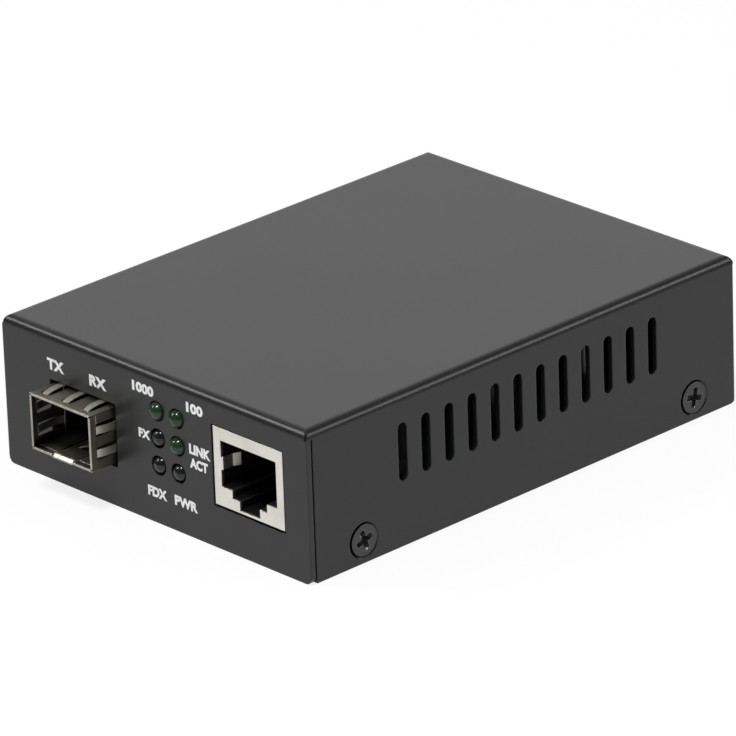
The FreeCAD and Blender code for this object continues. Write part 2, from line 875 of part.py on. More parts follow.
def sfp_cage_base():
    """Floor of the cage with the sprung tongue that latches the module."""
    body = new_body("sfp_cage_base", sfp_centre)
    half = mm.cage_width / 2 - mm.cage_sheet - mm.collar_fit
    start = mouth + mm.collar_rim
    floor = sketch_on(body, "XY", board_top, "floor_outline")
    rectangle(floor, (-half, half), (start, host_front - mm.host_gap))
    pad(body, floor, mm.cage_sheet, "+Z")
    slits = sketch_on(body, "XY", board_top + mm.cage_sheet, "tongue_slits")
    tongue = mm.tongue_width / 2
    for sign in (-1, 1):
        edges = sorted((sign * tongue, sign * (tongue + mm.tongue_slit)), key=lambda size: size.number)
        rectangle(slits, edges, (start - mm.past, start + mm.tongue_run))
    latch = mm.latch_hole / 2
    latch_y = start + mm.latch_back
    polygon(slits, [(-latch, latch_y), (latch, latch_y), (0, latch_y + mm.latch_hole)])
    pocket(body, slits, mm.cage_sheet, "-Z")
    lip = sketch_on(body, "YZ", 0, "tongue_lip")
    tip = mouth + mm.collar_fit
    polygon(lip, [
        (tip, board_top - mm.tongue_drop),
        (tip + mm.lip_run, board_top),
        (start + mm.lip_overlap, board_top),
        (start + mm.lip_overlap, board_top + mm.cage_sheet),
        (tip + mm.lip_run, board_top + mm.cage_sheet),
        (tip, board_top + mm.cage_sheet - mm.tongue_drop),
    ])
    pad(body, lip, mm.tongue_width, "both")
    return body


def finger(sketch, along, level, outward, swap):
    """Bowed finger in section: flat tails in the sheet and an arched strip between them."""
    start, end = along
    sheet_in = level - outward * mm.collar_sheet
    bow_radius = mm.finger_length * mm.finger_length / (mm.finger_bow * 8) + mm.finger_bow / 2
    tail = mm.finger_tail
    corners = [
        (start - tail, sheet_in), (start, sheet_in), (end, sheet_in), (end + tail, sheet_in),
        (end + tail, level), (end, level), (start, level), (start - tail, level),
    ]
    arch = -outward if swap else outward
    if swap:
        corners = [(v, u) for u, v in corners]
    polygon(sketch, corners, {1: -arch * bow_radius, 5: arch * bow_radius})


def sfp_spring_collar():
    """Spring collar over the cage's mouth, with arched fingers that meet the panel's cut-out."""
    body = new_body("sfp_spring_collar", sfp_centre)
    outline = sketch_on(body, "XZ", mouth, "collar_section")
    rectangle(outline, (-collar_side, collar_side), (collar_low, collar_high))
    pad(body, outline, mm.collar_run, "+Y")
    inside = sketch_on(body, "XZ", mouth + mm.collar_sheet, "collar_inside")
    wall = collar_side - mm.collar_sheet
    rectangle(inside, (-wall, wall), (collar_low + mm.collar_sheet, collar_high - mm.collar_sheet))
    pocket(body, inside, mm.collar_run, "+Y")
    opening = sketch_on(body, "XZ", mouth, "collar_mouth")
    half = mm.cage_width / 2 - mm.cage_sheet
    height = (board_top + mm.cage_sheet, board_top + mm.cage_height - mm.cage_sheet)
    rectangle(opening, (-half, half), height)
    pocket(body, opening, mm.collar_sheet * 2, "+Y")

    # the floor of the collar stops short of the board, and is open in the middle for the tongue
    under = sketch_on(body, "XY", collar_low - mm.past, "collar_floor_cut")
    beside = collar_side + mm.past
    rectangle(under, (-beside, beside), (mouth + mm.collar_floor, mouth + mm.collar_run + mm.past))
    pocket(body, under, mm.past + mm.collar_sheet + mm.collar_fit * 4, "+Z")
    gap = sketch_on(body, "XY", collar_low - mm.past, "tongue_gap")
    gap_half = mm.tongue_width / 2 + mm.collar_fit * 3
    rectangle(gap, (-gap_half, gap_half), (mouth - mm.past, mouth + mm.collar_floor + mm.past))
    pocket(body, gap, mm.past + mm.collar_sheet + mm.cage_sheet + mm.collar_fit * 3, "+Z")

    start = mouth + mm.collar_rim
    end = start + mm.finger_length
    first = -mm.finger_pitch * (mm.finger_count - 1) / 2
    room = mm.finger_width / 2 + mm.finger_slit
    windows = sketch_on(body, "XY", collar_high, "top_windows")
    rectangle(windows, (first - room, first + room), (start, end))
    top_windows = pocket(body, windows, mm.collar_sheet * 2, "-Z")
    repeat(body, top_windows, "X", mm.finger_pitch, mm.finger_count)

    high = collar_high - mm.side_finger_high
    low = high - mm.side_finger_pitch * (mm.side_finger_count - 1)
    room = mm.side_finger_width / 2 + mm.finger_slit
    windows = sketch_on(body, "YZ", 0, "side_windows")
    rectangle(windows, (start, end), (low - room, low + room))
    side_windows = pocket(body, windows, collar_side * 2 + mm.past, "both")
    repeat(body, side_windows, "Z", mm.side_finger_pitch, mm.side_finger_count)

    arch = sketch_on(body, "YZ", first, "top_finger")
    finger(arch, (start, end), collar_high, 1, False)
    top_fingers = pad(body, arch, mm.finger_width, "both")
    repeat(body, top_fingers, "X", mm.finger_pitch, mm.finger_count)
    arch = sketch_on(body, "XY", low, "side_fingers")
    finger(arch, (start, end), collar_side, 1, True)
    finger(arch, (start, end), -collar_side, -1, True)
    side_fingers = pad(body, arch, mm.side_finger_width, "both")
    repeat(body, side_fingers, "Z", mm.side_finger_pitch, mm.side_finger_count)
    return body


def sfp_connector():
    """Moulded host connector at the back of the cage, grooved for two rows of contacts."""
    body = new_body("sfp_connector", sfp_centre)
    half = mm.host_width / 2
    outline = sketch_on(body, "XZ", host_front, "host_section")
    rectangle(outline, (-half, half), (board_top, board_top + mm.host_height))
    pad(body, outline, mm.host_depth, "+Y")
    mouth_slot = sketch_on(body, "XZ", host_front, "host_slot")
    slot_half = mm.host_slot_width / 2
    low = board_top + mm.host_slot_low
    rectangle(mouth_slot, (-slot_half, slot_half), (low, low + mm.host_slot_height))
    pocket(body, mouth_slot, mm.host_slot_depth, "+Y")
    grooves = sketch_on(body, "XZ", host_front, "host_grooves")
    first = -mm.host_contact_pitch * (mm.host_contact_count - 1) / 2
    groove = mm.host_contact_width / 2 + mm.contact_clearance
    depth = mm.host_contact_sheet + mm.contact_clearance
    high = low + mm.host_slot_height
    rectangle(grooves, (first - groove, first + groove), (low - depth, high + depth))
    first_groove = pocket(body, grooves, mm.host_slot_depth, "+Y")
    repeat(body, first_groove, "X", mm.host_contact_pitch, mm.host_contact_count)
    return body


def sfp_contacts():
    """Two rows of flat contacts that lie in the host connector's grooves."""
    body = new_body("sfp_contacts", sfp_centre)
    section = sketch_on(body, "XZ", host_front + mm.host_contact_inset, "contact_section")
    first = -mm.host_contact_pitch * (mm.host_contact_count - 1) / 2
    half = mm.host_contact_width / 2
    low = board_top + mm.host_slot_low
    high = low + mm.host_slot_height
    for bottom in (low - mm.host_contact_sheet, high):
        rectangle(section, (first - half, first + half), (bottom, bottom + mm.host_contact_sheet))
    pair = pad(body, section, mm.host_slot_depth - mm.host_contact_inset, "+Y")
    repeat(body, pair, "X", mm.host_contact_pitch, mm.host_contact_count)
    return body


# Copper port.


def rj45_shield():
    """Folded steel shield with the keyed opening and a contact spring in each side wall."""
    body = new_body("rj45_shield", jack_centre)
    half = mm.jack_width / 2
    outline = sketch_on(body, "XZ", jack_front, "shield_section")
    rectangle(outline, (-half, half), (board_top, board_top + jack_height))
    pad(body, outline, mm.jack_depth, "+Y")
    inside = sketch_on(body, "XY", board_top, "shield_inside")
    inner = half - mm.jack_sheet
    rectangle(inside, (-inner, inner), (jack_front + mm.jack_sheet, jack_rear - mm.jack_sheet))
    pocket(body, inside, jack_height - mm.jack_sheet, "+Z")
    opening = sketch_on(body, "XZ", jack_front, "plug_opening")
    plug_outline(opening)
    pocket(body, opening, mm.jack_sheet * 1.5, "+Y")
    springs = sketch_on(body, "XY", board_top + mm.spring_low, "side_springs")
    wall = mm.plug_width / 2
    reach = jack_front + mm.spring_reach
    for sign in (-1, 1):
        polygon(springs, [
            (sign * wall, jack_front),
            (sign * (wall - mm.jack_sheet), jack_front + mm.jack_sheet),
            (sign * (wall - mm.jack_sheet), reach),
            (sign * (wall - mm.spring_bulge), reach + mm.spring_ramp),
            (sign * (wall - mm.spring_bulge + mm.jack_sheet), reach + mm.spring_ramp),
            (sign * (wall - mm.jack_fit), reach + mm.jack_sheet),
            (sign * (wall - mm.jack_fit), jack_front + mm.jack_sheet),
            (sign * (wall + mm.jack_sheet), jack_front + mm.jack_sheet),
            (sign * (wall + mm.jack_sheet), jack_front),
        ])
    pad(body, springs, mm.spring_height, "+Z")
    return body


def rj45_housing():
    """Moulded insert with the plug's cavity and a groove for each contact wire."""
    body = new_body("rj45_housing", jack_centre)
    half = mm.jack_width / 2 - mm.jack_sheet - mm.jack_fit
    start = jack_front + mm.jack_sheet + mm.jack_fit
    end = jack_rear - mm.jack_sheet - mm.jack_fit
    outline = sketch_on(body, "XZ", start, "housing_section")
    top = board_top + jack_height - mm.jack_sheet - mm.jack_fit
    rectangle(outline, (-half, half), (board_top, top))
    pad(body, outline, end - start, "+Y")
    cavity = sketch_on(body, "XZ", start, "plug_cavity")
    plug_outline(cavity)
    pocket(body, cavity, jack_front + mm.plug_depth - start, "+Y")
    groove = sketch_on(body, "XZ", start, "wire_groove")
    first = -mm.wire_pitch * (mm.wire_count - 1) / 2
    room = mm.wire_width / 2 + mm.contact_clearance
    high = plug_top + mm.wire_sheet + mm.contact_clearance * 2
    rectangle(groove, (first - room, first + room), (plug_top - mm.contact_clearance * 2, high))
    first_groove = pocket(body, groove, jack_front + mm.plug_depth - start, "+Y")
    repeat(body, first_groove, "X", mm.wire_pitch, mm.wire_count)
    return body


def rj45_contacts():
    """Eight contact wires: along the cavity's ceiling, then back down to the free end."""
    body = new_body("rj45_contacts", jack_centre)
    first = -mm.wire_pitch * (mm.wire_count - 1) / 2
    section = sketch_on(body, "YZ", first, "wire_section")
    nose = jack_front + mm.wire_start
    back = jack_front + mm.plug_depth - mm.wire_sheet / 2
    low = plug_top + mm.wire_lift
    high = low + mm.wire_sheet
    polygon(section, [
        (back, high),
        (nose + mm.wire_sheet, high),
        (nose, plug_top - mm.wire_sheet / 3),
        (nose + mm.wire_run, plug_top - mm.wire_drop - mm.wire_sheet),
        (nose + mm.wire_run + mm.wire_sheet / 2, plug_top - mm.wire_drop),
        (nose + mm.wire_sheet * 2.5, low),
        (back, low),
    ])
    wire = pad(body, section, mm.wire_width, "both")
    repeat(body, wire, "X", mm.wire_pitch, mm.wire_count)
    return body


# Lamps.


def lamps():
    """Six lamps, each on its own pair of bent leads. A bevel and a flat tip stand for the round nose."""
    names = (
        ("led_duplex", 0, 0, mm.lamp_flush),
        ("led_power", 1, 0, mm.lamp_flush),
        ("led_fibre_link", 0, 1, mm.lamp_flush),
        ("led_link", 1, 1, mm.lamp_proud),
        ("led_speed_high", 0, 2, mm.lamp_proud),
        ("led_speed_low", 1, 2, mm.lamp_proud),
    )
    bends = lead_rows()
    half = mm.lead_thickness / 2
    for name, column, row, proud in names:
        x, z = lamp_columns[column], lamp_rows[row]
        nose = front - proud
        lens = new_body(name, x)
        half_section = sketch_on(lens, "XY", z, f"{name}_section")
        polygon(half_section, [
            (0, nose), (mm.lamp_radius - mm.lamp_bevel, nose), (mm.lamp_radius, nose + mm.lamp_bevel),
            (mm.lamp_radius, nose + mm.lamp_length), (0, nose + mm.lamp_length),
        ])
        revolve(lens, half_section)
        leads = []
        bend = bends[row]
        for offset in (-mm.lead_pitch / 2, mm.lead_pitch / 2):
            span = (x + offset - half, x + offset + half)
            back = (nose + mm.lamp_length, bend + half)
            level = block(f"{name}_run", span, back, (z - half, z + half))
            upright = (board_top - mm.lead_tail, z + half)
            drop = block(f"{name}_drop", span, (bend - half, bend + half), upright)
            leads.append(fuse(f"{name}_lead", [level, drop]))
        finished(group(f"{name}_pair", leads), f"{name}_leads")


# Power inlet.


def dc_jack_housing():
    """Moulded barrel inlet, flush with the outside of the rear panel."""
    body = new_body("dc_jack_housing", inlet_centre)
    half = mm.inlet_width / 2
    outline = sketch_on(body, "XZ", rear, "inlet_section")
    rectangle(outline, (-half, half), (board_top, board_top + mm.inlet_height))
    pad(body, outline, mm.inlet_depth, "-Y")
    bore = sketch_on(body, "XZ", rear, "inlet_bore_circle")
    circle(bore, 0, inlet_level, mm.inlet_bore)
    pocket(body, bore, mm.inlet_bore_depth, "-Y")
    slot_front = mm.leaf_front - mm.leaf_bow
    room = sketch_on(body, "XZ", rear - slot_front, "leaf_slot")
    slot_half = mm.leaf_width / 2 + mm.leaf_room
    low = inlet_level - mm.inlet_bore - mm.leaf_sheet - mm.leaf_room * 2
    rectangle(room, (-slot_half, slot_half), (low, inlet_level - mm.inlet_bore + mm.leaf_sheet * 2))
    pocket(body, room, mm.inlet_bore_depth - slot_front, "-Y")
    return body


def dc_jack_pin():
    """Centre pin, standing on the floor of the bore."""
    start = rear - mm.inlet_bore_depth
    length = mm.inlet_bore_depth - mm.inlet_pin_back
    pin = rod("pin", mm.inlet_pin, length, (inlet_centre, start, inlet_level), "+Y")
    return finished(pin, "dc_jack_pin")


def dc_jack_spring():
    """Bent leaf that presses on the plug's sleeve."""
    body = new_body("dc_jack_spring", inlet_centre)
    section = sketch_on(body, "YZ", 0, "leaf_section")
    low = inlet_level - mm.inlet_bore - mm.leaf_sheet - mm.leaf_room
    back = rear - mm.inlet_bore_depth + mm.leaf_back_gap
    line = [(back, low), (rear - mm.leaf_middle, low + mm.leaf_bow), (rear - mm.leaf_front, low)]
    polygon(section, line + [(y, z + mm.leaf_sheet) for y, z in reversed(line)])
    pad(body, section, mm.leaf_width, "both")
    return body


# Other parts on the board.


def lead_profile(sketch, inner, outward):
    """Lead in section: down the package's side, then out along the board to its foot."""
    sheet_side = inner + outward * mm.lead_sheet
    toe = inner + outward * mm.lead_foot
    shoulder = board_top + mm.chip_lift + mm.lead_rise
    polygon(sketch, [
        (inner, shoulder), (sheet_side, shoulder), (sheet_side, board_top + mm.lead_sheet),
        (toe, board_top + mm.lead_sheet), (toe, board_top), (inner, board_top),
    ])


def package(name, x, y, width, depth, height):
    """Moulded package just above the board, with its upper edges bevelled."""
    body = new_body(name, x)
    bind(body, "Placement.Base.y", y)
    outline = sketch_on(body, "XY", board_top + mm.chip_lift, f"{name}_outline")
    rectangle(outline, (-width / 2, width / 2), (-depth / 2, depth / 2))
    moulded = pad(body, outline, height, "+Z")
    doc.recompute()
    top = board_top + mm.chip_lift + height
    names = []
    for number, edge in enumerate(moulded.Shape.Edges, start=1):
        if near(edge.CenterOfMass.z, top):
            names.append(f"Edge{number}")
    bevel = body.newObject("PartDesign::Chamfer", f"{name}_bevel")
    bevel.Base = (moulded, names)
    bind(bevel, "Size", mm.chip_bevel)
    body.Tip = bevel
    return body


def gull_leads(name, x, y, width, depth, count, pitch, lead_width, four_sides):
    """Leads along the front and back of a package, and along its sides too if it has them."""
    body = new_body(name, x)
    bind(body, "Placement.Base.y", y)
    first = -pitch * (count - 1) / 2
    section = sketch_on(body, "YZ", first, f"{name}_section")
    for outward in (-1, 1):
        lead_profile(section, depth / 2 * outward, outward)
    pair = pad(body, section, lead_width, "both")
    repeat(body, pair, "X", pitch, count)
    if four_sides:
        section = sketch_on(body, "XZ", first, f"{name}_side_section")
        for outward in (-1, 1):
            lead_profile(section, width / 2 * outward, outward)
        pair = pad(body, section, lead_width, "both")
        repeat(body, pair, "Y", pitch, count)
    return body


def behind_cage(share):
    """Depth at a share of the way from the cage to the rear panel."""
    return cage_rear + (rear - cage_rear) * share


def board_parts():
    """Moulded packages, with the leads that each stands on."""
    chip_y = behind_cage(mm.chip_share)
    transformer_x = jack_centre - mm.transformer_left
    transformer_y = jack_rear + mm.transformer_gap
    memory_y = behind_cage(mm.memory_share)
    package("converter_chip", mm.chip_x, chip_y, mm.chip_width, mm.chip_width, mm.chip_height)
    gull_leads(
        "converter_chip_leads", mm.chip_x, chip_y, mm.chip_width, mm.chip_width,
        mm.chip_leads, mm.chip_lead_pitch, mm.chip_lead_width, True,
    )
    package(
        "line_transformer", transformer_x, transformer_y,
        mm.transformer_width, mm.transformer_depth, mm.transformer_height,
    )
    gull_leads(
        "line_transformer_leads", transformer_x, transformer_y,
        mm.transformer_width, mm.transformer_depth,
        mm.transformer_leads, mm.transformer_lead_pitch, mm.transformer_lead_width, False,
    )
    package(
        "memory_chip", mm.memory_x, memory_y, mm.memory_width, mm.memory_depth, mm.memory_height,
    )
    gull_leads(
        "memory_chip_leads", mm.memory_x, memory_y, mm.memory_width, mm.memory_depth,
        mm.memory_leads, mm.memory_lead_pitch, mm.memory_lead_width, False,
    )
    package(
        "voltage_regulator", mm.regulator_x, behind_cage(mm.regulator_share),
        mm.regulator_width, mm.regulator_depth, mm.regulator_height,
    )


def crystal_can():
    """Metal can with half-round ends, standing on the board."""
    half = mm.crystal_depth / 2
    ends = mm.crystal_width / 2 - half
    y = behind_cage(mm.crystal_share)
    height = (board_top, board_top + mm.crystal_height)
    width = (mm.crystal_x - ends, mm.crystal_x + ends)
    middle = block("can_middle", width, (y - half, y + half), height)
    rounds = [
        rod("can_end", half, mm.crystal_height, (mm.crystal_x + end, y, board_top))
        for end in (-ends, ends)
    ]
    return finished(fuse("can_solid", [middle, *rounds]), "crystal_can")


def power_inductor():
    """Square block with its corners cut off."""
    body = new_body("power_inductor", mm.inductor_x)
    bind(body, "Placement.Base.y", behind_cage(mm.inductor_share))
    outline = sketch_on(body, "XY", board_top, "inductor_outline")
    half = mm.inductor_width / 2
    near_corner = half - mm.inductor_corner
    polygon(outline, [
        (near_corner, -half), (half, -near_corner), (half, near_corner), (near_corner, half),
        (-near_corner, half), (-half, near_corner), (-half, -near_corner), (-near_corner, -half),
    ])
    pad(body, outline, mm.inductor_height, "+Z")
    return body


def filter_capacitors():
    """Two upright capacitor cans beside the vents."""
    x = side - mm.capacitor_margin
    start = front + mm.standoff_front
    span = rear - mm.standoff_rear - start
    cans = [
        rod("can", mm.capacitor_radius, mm.capacitor_height, (x, start + span * share, board_top))
        for share in (mm.capacitor_front_share, mm.capacitor_rear_share)
    ]
    return finished(group("can_set", cans), "filter_capacitors")


def check_and_write():
    """Stop on a failed feature or a cut that cuts nothing, then write one file for each node."""
    doc.recompute()
    for thing in doc.Objects:
        if "Invalid" in thing.State or "Error" in thing.State:
            raise RuntimeError(f"{thing.Name} failed: {thing.State}")
        if thing.TypeId == "PartDesign::Pocket":
            before = thing.BaseFeature.Shape.Volume
            if thing.Shape.Volume > before - 1e-6:
                raise RuntimeError(f"{thing.Name} cuts nothing")
    os.makedirs("parts", exist_ok=True)
    for node in nodes:
        shape = node.Shape
        if shape.isNull() or not shape.isValid() or not shape.Solids:
            raise RuntimeError(f"{node.Label} has no valid solid")
        shape.exportStep(f"parts/{node.Label}.step")
        print(f"{node.Label}: {len(shape.Solids)} solid(s), {shape.Volume:.2f} mm3")


top_cover()
base_plate()
cover_screws()
board_standoffs()
board_screws()
circuit_board()
sfp_cage_body()
sfp_cage_base()
sfp_spring_collar()
sfp_connector()
sfp_contacts()
rj45_shield()
rj45_housing()
rj45_contacts()
lamps()
dc_jack_housing()
dc_jack_pin()
dc_jack_spring()
board_parts()
crystal_can()
power_inductor()
filter_capacitors()
check_and_write()
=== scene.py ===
import bpy
import math
import numpy as np
from mathutils import Matrix, Vector


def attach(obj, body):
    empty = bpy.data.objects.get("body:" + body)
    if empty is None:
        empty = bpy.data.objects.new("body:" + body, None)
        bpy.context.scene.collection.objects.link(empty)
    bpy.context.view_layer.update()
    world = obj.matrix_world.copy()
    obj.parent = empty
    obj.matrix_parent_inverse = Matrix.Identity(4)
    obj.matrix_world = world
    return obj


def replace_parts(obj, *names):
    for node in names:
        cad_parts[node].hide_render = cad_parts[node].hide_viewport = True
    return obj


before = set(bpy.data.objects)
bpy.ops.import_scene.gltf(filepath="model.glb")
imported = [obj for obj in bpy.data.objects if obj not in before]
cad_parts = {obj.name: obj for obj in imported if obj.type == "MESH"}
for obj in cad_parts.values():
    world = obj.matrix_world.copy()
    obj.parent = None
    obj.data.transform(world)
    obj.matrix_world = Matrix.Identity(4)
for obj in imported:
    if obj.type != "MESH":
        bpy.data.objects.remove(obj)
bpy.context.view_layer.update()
scene = bpy.context.scene
scene.view_settings.view_transform = "Standard"
mm = 0.001


# the camera stands where the case's outline falls as in the picture

shot = dict(
    azimuth=46.854,  # degrees round from the front
    elevation=23.285,
    roll=-2.024,
    distance=1154.281 * mm,
    slide=(-0.687 * mm, -1.591 * mm),  # along the picture's right and up
    aim=(0.0, 0.0, 13.0 * mm),
    lens=347.86,
    sensor=36.0,
    clip=(0.05, 50.0),  # metres
)


def placeCamera(shot):
    turn, lift, roll = (math.radians(shot[k]) for k in ("azimuth", "elevation", "roll"))
    back = Vector((math.sin(turn) * math.cos(lift), -math.cos(turn) * math.cos(lift), math.sin(lift)))
    level = Vector((math.cos(turn), math.sin(turn), 0.0))
    rise = back.cross(level)
    right = level * math.cos(roll) + rise * math.sin(roll)
    up = rise * math.cos(roll) - level * math.sin(roll)
    slideRight, slideUp = shot["slide"]
    spot = Vector(shot["aim"]) + back * shot["distance"] + right * slideRight + up * slideUp
    data = bpy.data.cameras.new("camera")
    data.lens = shot["lens"]
    data.sensor_width = shot["sensor"]
    data.clip_start, data.clip_end = shot["clip"]
    camera = bpy.data.objects.new("camera", data)
    camera.matrix_world = Matrix.Translation(spot) @ Matrix((right, up, back)).transposed().to_4x4()
    scene.collection.objects.link(camera)
    scene.camera = camera


placeCamera(shot)
print("camera placed")


def put(tree, kind, x, y, sockets=None, **settings):
    made = tree.nodes.new(kind)
    made.location = (x, y)
    for key, value in settings.items():
        setattr(made, key, value)
    for key, value in (sockets or {}).items():
        made.inputs[key].default_value = value
    return made


def join(tree, *pairs):
    for source, target in pairs:
        tree.links.new(source, target)


def ease(tree, x, y, span, values):
    # smooth step between two values, as the input goes over its span
    names = ("From Min", "From Max", "To Min", "To Max")
    sockets = dict(zip(names, span + values))
    return put(tree, "ShaderNodeMapRange", x, y, sockets, interpolation_type="SMOOTHSTEP")


def newMaterial(name):
    material = bpy.data.materials.new(name)
    material.use_nodes = True
    material.node_tree.nodes.clear()
    return material, material.node_tree


def newGroup(name, takes, gives):
    group = bpy.data.node_groups.new(name, "ShaderNodeTree")
    for label, kind, value in takes:
        socket = group.interface.new_socket(name=label, in_out="INPUT", socket_type="NodeSocket" + kind)
        socket.default_value = value
    for label, kind in gives:
        group.interface.new_socket(name=label, in_out="OUTPUT", socket_type="NodeSocket" + kind)
    return group, put(group, "NodeGroupInput", -900, 0), put(group, "NodeGroupOutput", 700, 0)


# fine grain: noise of a given grain size in millimetres, 0.5 on average
grain, takes, gives = newGroup(
    "fineGrain",
    [("Size", "Float", 0.3), ("Detail", "Float", 2.0), ("Stretch", "Vector", (1.0, 1.0, 1.0))],
    [("Value", "Float")],
)
place = put(grain, "ShaderNodeTexCoord", -900, 220)
stretch = put(grain, "ShaderNodeVectorMath", -680, 160, operation="MULTIPLY")
scale = put(grain, "ShaderNodeMath", -680, -60, {0: 1 / mm}, operation="DIVIDE")
noise = put(grain, "ShaderNodeTexNoise", -440, 100, {"Roughness": 0.6})
join(
    grain,
    (place.outputs["Object"], stretch.inputs[0]),
    (takes.outputs["Stretch"], stretch.inputs[1]),
    (takes.outputs["Size"], scale.inputs[1]),
    (stretch.outputs["Vector"], noise.inputs["Vector"]),
    (scale.outputs["Value"], noise.inputs["Scale"]),
    (takes.outputs["Detail"], noise.inputs["Detail"]),
    (noise.outputs["Fac"], gives.inputs["Value"]),
)

# edge wear and sheen: how far a rounded normal turns from the plain one, broken up by noise; the edges it
# finds are lightened for wear, and on some metals also as a painted highlight
# the radius is in millimetres, and the wear starts and is full at two cosines of that turn
edgeWearAndSheen, takes, gives = newGroup(
    "edgeWearAndSheen",
    [("Radius", "Float", 0.3), ("Break", "Float", 0.5)],
    [("Mask", "Float"), ("Normal", "Vector")],
)
toMetre = put(edgeWearAndSheen, "ShaderNodeMath", -700, 120, {1: mm}, operation="MULTIPLY")
rounded = put(edgeWearAndSheen, "ShaderNodeBevel", -520, 120, samples=6)
plain = put(edgeWearAndSheen, "ShaderNodeNewGeometry", -520, -60)
turned = put(edgeWearAndSheen, "ShaderNodeVectorMath", -320, 60, operation="DOT_PRODUCT")
away = put(edgeWearAndSheen, "ShaderNodeMapRange", -140, 60, {"From Min": 0.995, "From Max": 0.75})
patch = put(edgeWearAndSheen, "ShaderNodeGroup", -320, -220, {"Size": 1.6, "Detail": 4.0}, node_tree=grain)
broken = put(edgeWearAndSheen, "ShaderNodeMapRange", -140, -220, {"From Min": 0.35, "From Max": 0.65})
least = put(edgeWearAndSheen, "ShaderNodeMath", -320, -420, {0: 1.0}, operation="SUBTRACT")
mask = put(edgeWearAndSheen, "ShaderNodeMath", 260, 20, operation="MULTIPLY")
join(
    edgeWearAndSheen,
    (takes.outputs["Radius"], toMetre.inputs[0]),
    (toMetre.outputs["Value"], rounded.inputs["Radius"]),
    (rounded.outputs["Normal"], turned.inputs[0]),
    (plain.outputs["Normal"], turned.inputs[1]),
    (turned.outputs["Value"], away.inputs["Value"]),
    (patch.outputs["Value"], broken.inputs["Value"]),
    (takes.outputs["Break"], least.inputs[1]),
    (least.outputs["Value"], broken.inputs["To Min"]),
    (away.outputs["Result"], mask.inputs[0]),
    (broken.outputs["Result"], mask.inputs[1]),
    (mask.outputs["Value"], gives.inputs["Mask"]),
    (rounded.outputs["Normal"], gives.inputs["Normal"]),
)

# smudge: broad soft patches of a given size in millimetres, 0 to 1
smudge, takes, gives = newGroup(
    "smudge",
    [("Size", "Float", 14.0), ("Low", "Float", 0.42), ("High", "Float", 0.68)],
    [("Mask", "Float")],
)
cloud = put(smudge, "ShaderNodeGroup", -500, 60, {"Detail": 5.0}, node_tree=grain)
level = put(smudge, "ShaderNodeMapRange", -240, 60, interpolation_type="SMOOTHSTEP")
join(
    smudge,
    (takes.outputs["Size"], cloud.inputs["Size"]),
    (cloud.outputs["Value"], level.inputs["Value"]),
    (takes.outputs["Low"], level.inputs["From Min"]),
    (takes.outputs["High"], level.inputs["From Max"]),
    (level.outputs["Result"], gives.inputs["Mask"]),
)

# recess: how closed in a spot is within a reach in millimetres, 0 in the open, used as the mask for
# painted shade
# faces that look away from the middle take only the outward share of it
recess, takes, gives = newGroup(
    "recess",
    [("Reach", "Float", 4.0), ("Middle", "Vector", (0.0, 0.0, 0.013)), ("Outward", "Float", 1.0)],
    [("Mask", "Float")],
)
toMetre = put(recess, "ShaderNodeMath", -560, 0, {1: mm}, operation="MULTIPLY")
openness = put(recess, "ShaderNodeAmbientOcclusion", -320, 0, samples=8)
closed = put(recess, "ShaderNodeMath", -80, 0, {0: 1.0}, operation="SUBTRACT")
spot = put(recess, "ShaderNodeTexCoord", -720, -200)
surface = put(recess, "ShaderNodeNewGeometry", -520, -420)
fromMiddle = put(recess, "ShaderNodeVectorMath", -520, -260, operation="SUBTRACT")
looksOut = put(recess, "ShaderNodeVectorMath", -320, -260, operation="DOT_PRODUCT")
isOut = put(recess, "ShaderNodeMath", -140, -260, {1: 0.0}, operation="GREATER_THAN")
facing = put(recess, "ShaderNodeMapRange", 60, -200, {"To Min": 1.0})
product = put(recess, "ShaderNodeMath", 300, 0, operation="MULTIPLY")
join(
    recess,
    (takes.outputs["Reach"], toMetre.inputs[0]),
    (toMetre.outputs["Value"], openness.inputs["Distance"]),
    (openness.outputs["AO"], closed.inputs[1]),
    (spot.outputs["Object"], fromMiddle.inputs[0]),
    (takes.outputs["Middle"], fromMiddle.inputs[1]),
    (fromMiddle.outputs["Vector"], looksOut.inputs[0]),
    (surface.outputs["Normal"], looksOut.inputs[1]),
    (looksOut.outputs["Value"], isOut.inputs[0]),
    (isOut.outputs["Value"], facing.inputs["Value"]),
    (takes.outputs["Outward"], facing.inputs["To Max"]),
    (closed.outputs["Value"], product.inputs[0]),
    (facing.outputs["Result"], product.inputs[1]),
    (product.outputs["Value"], gives.inputs["Mask"]),
)
print("node groups made")


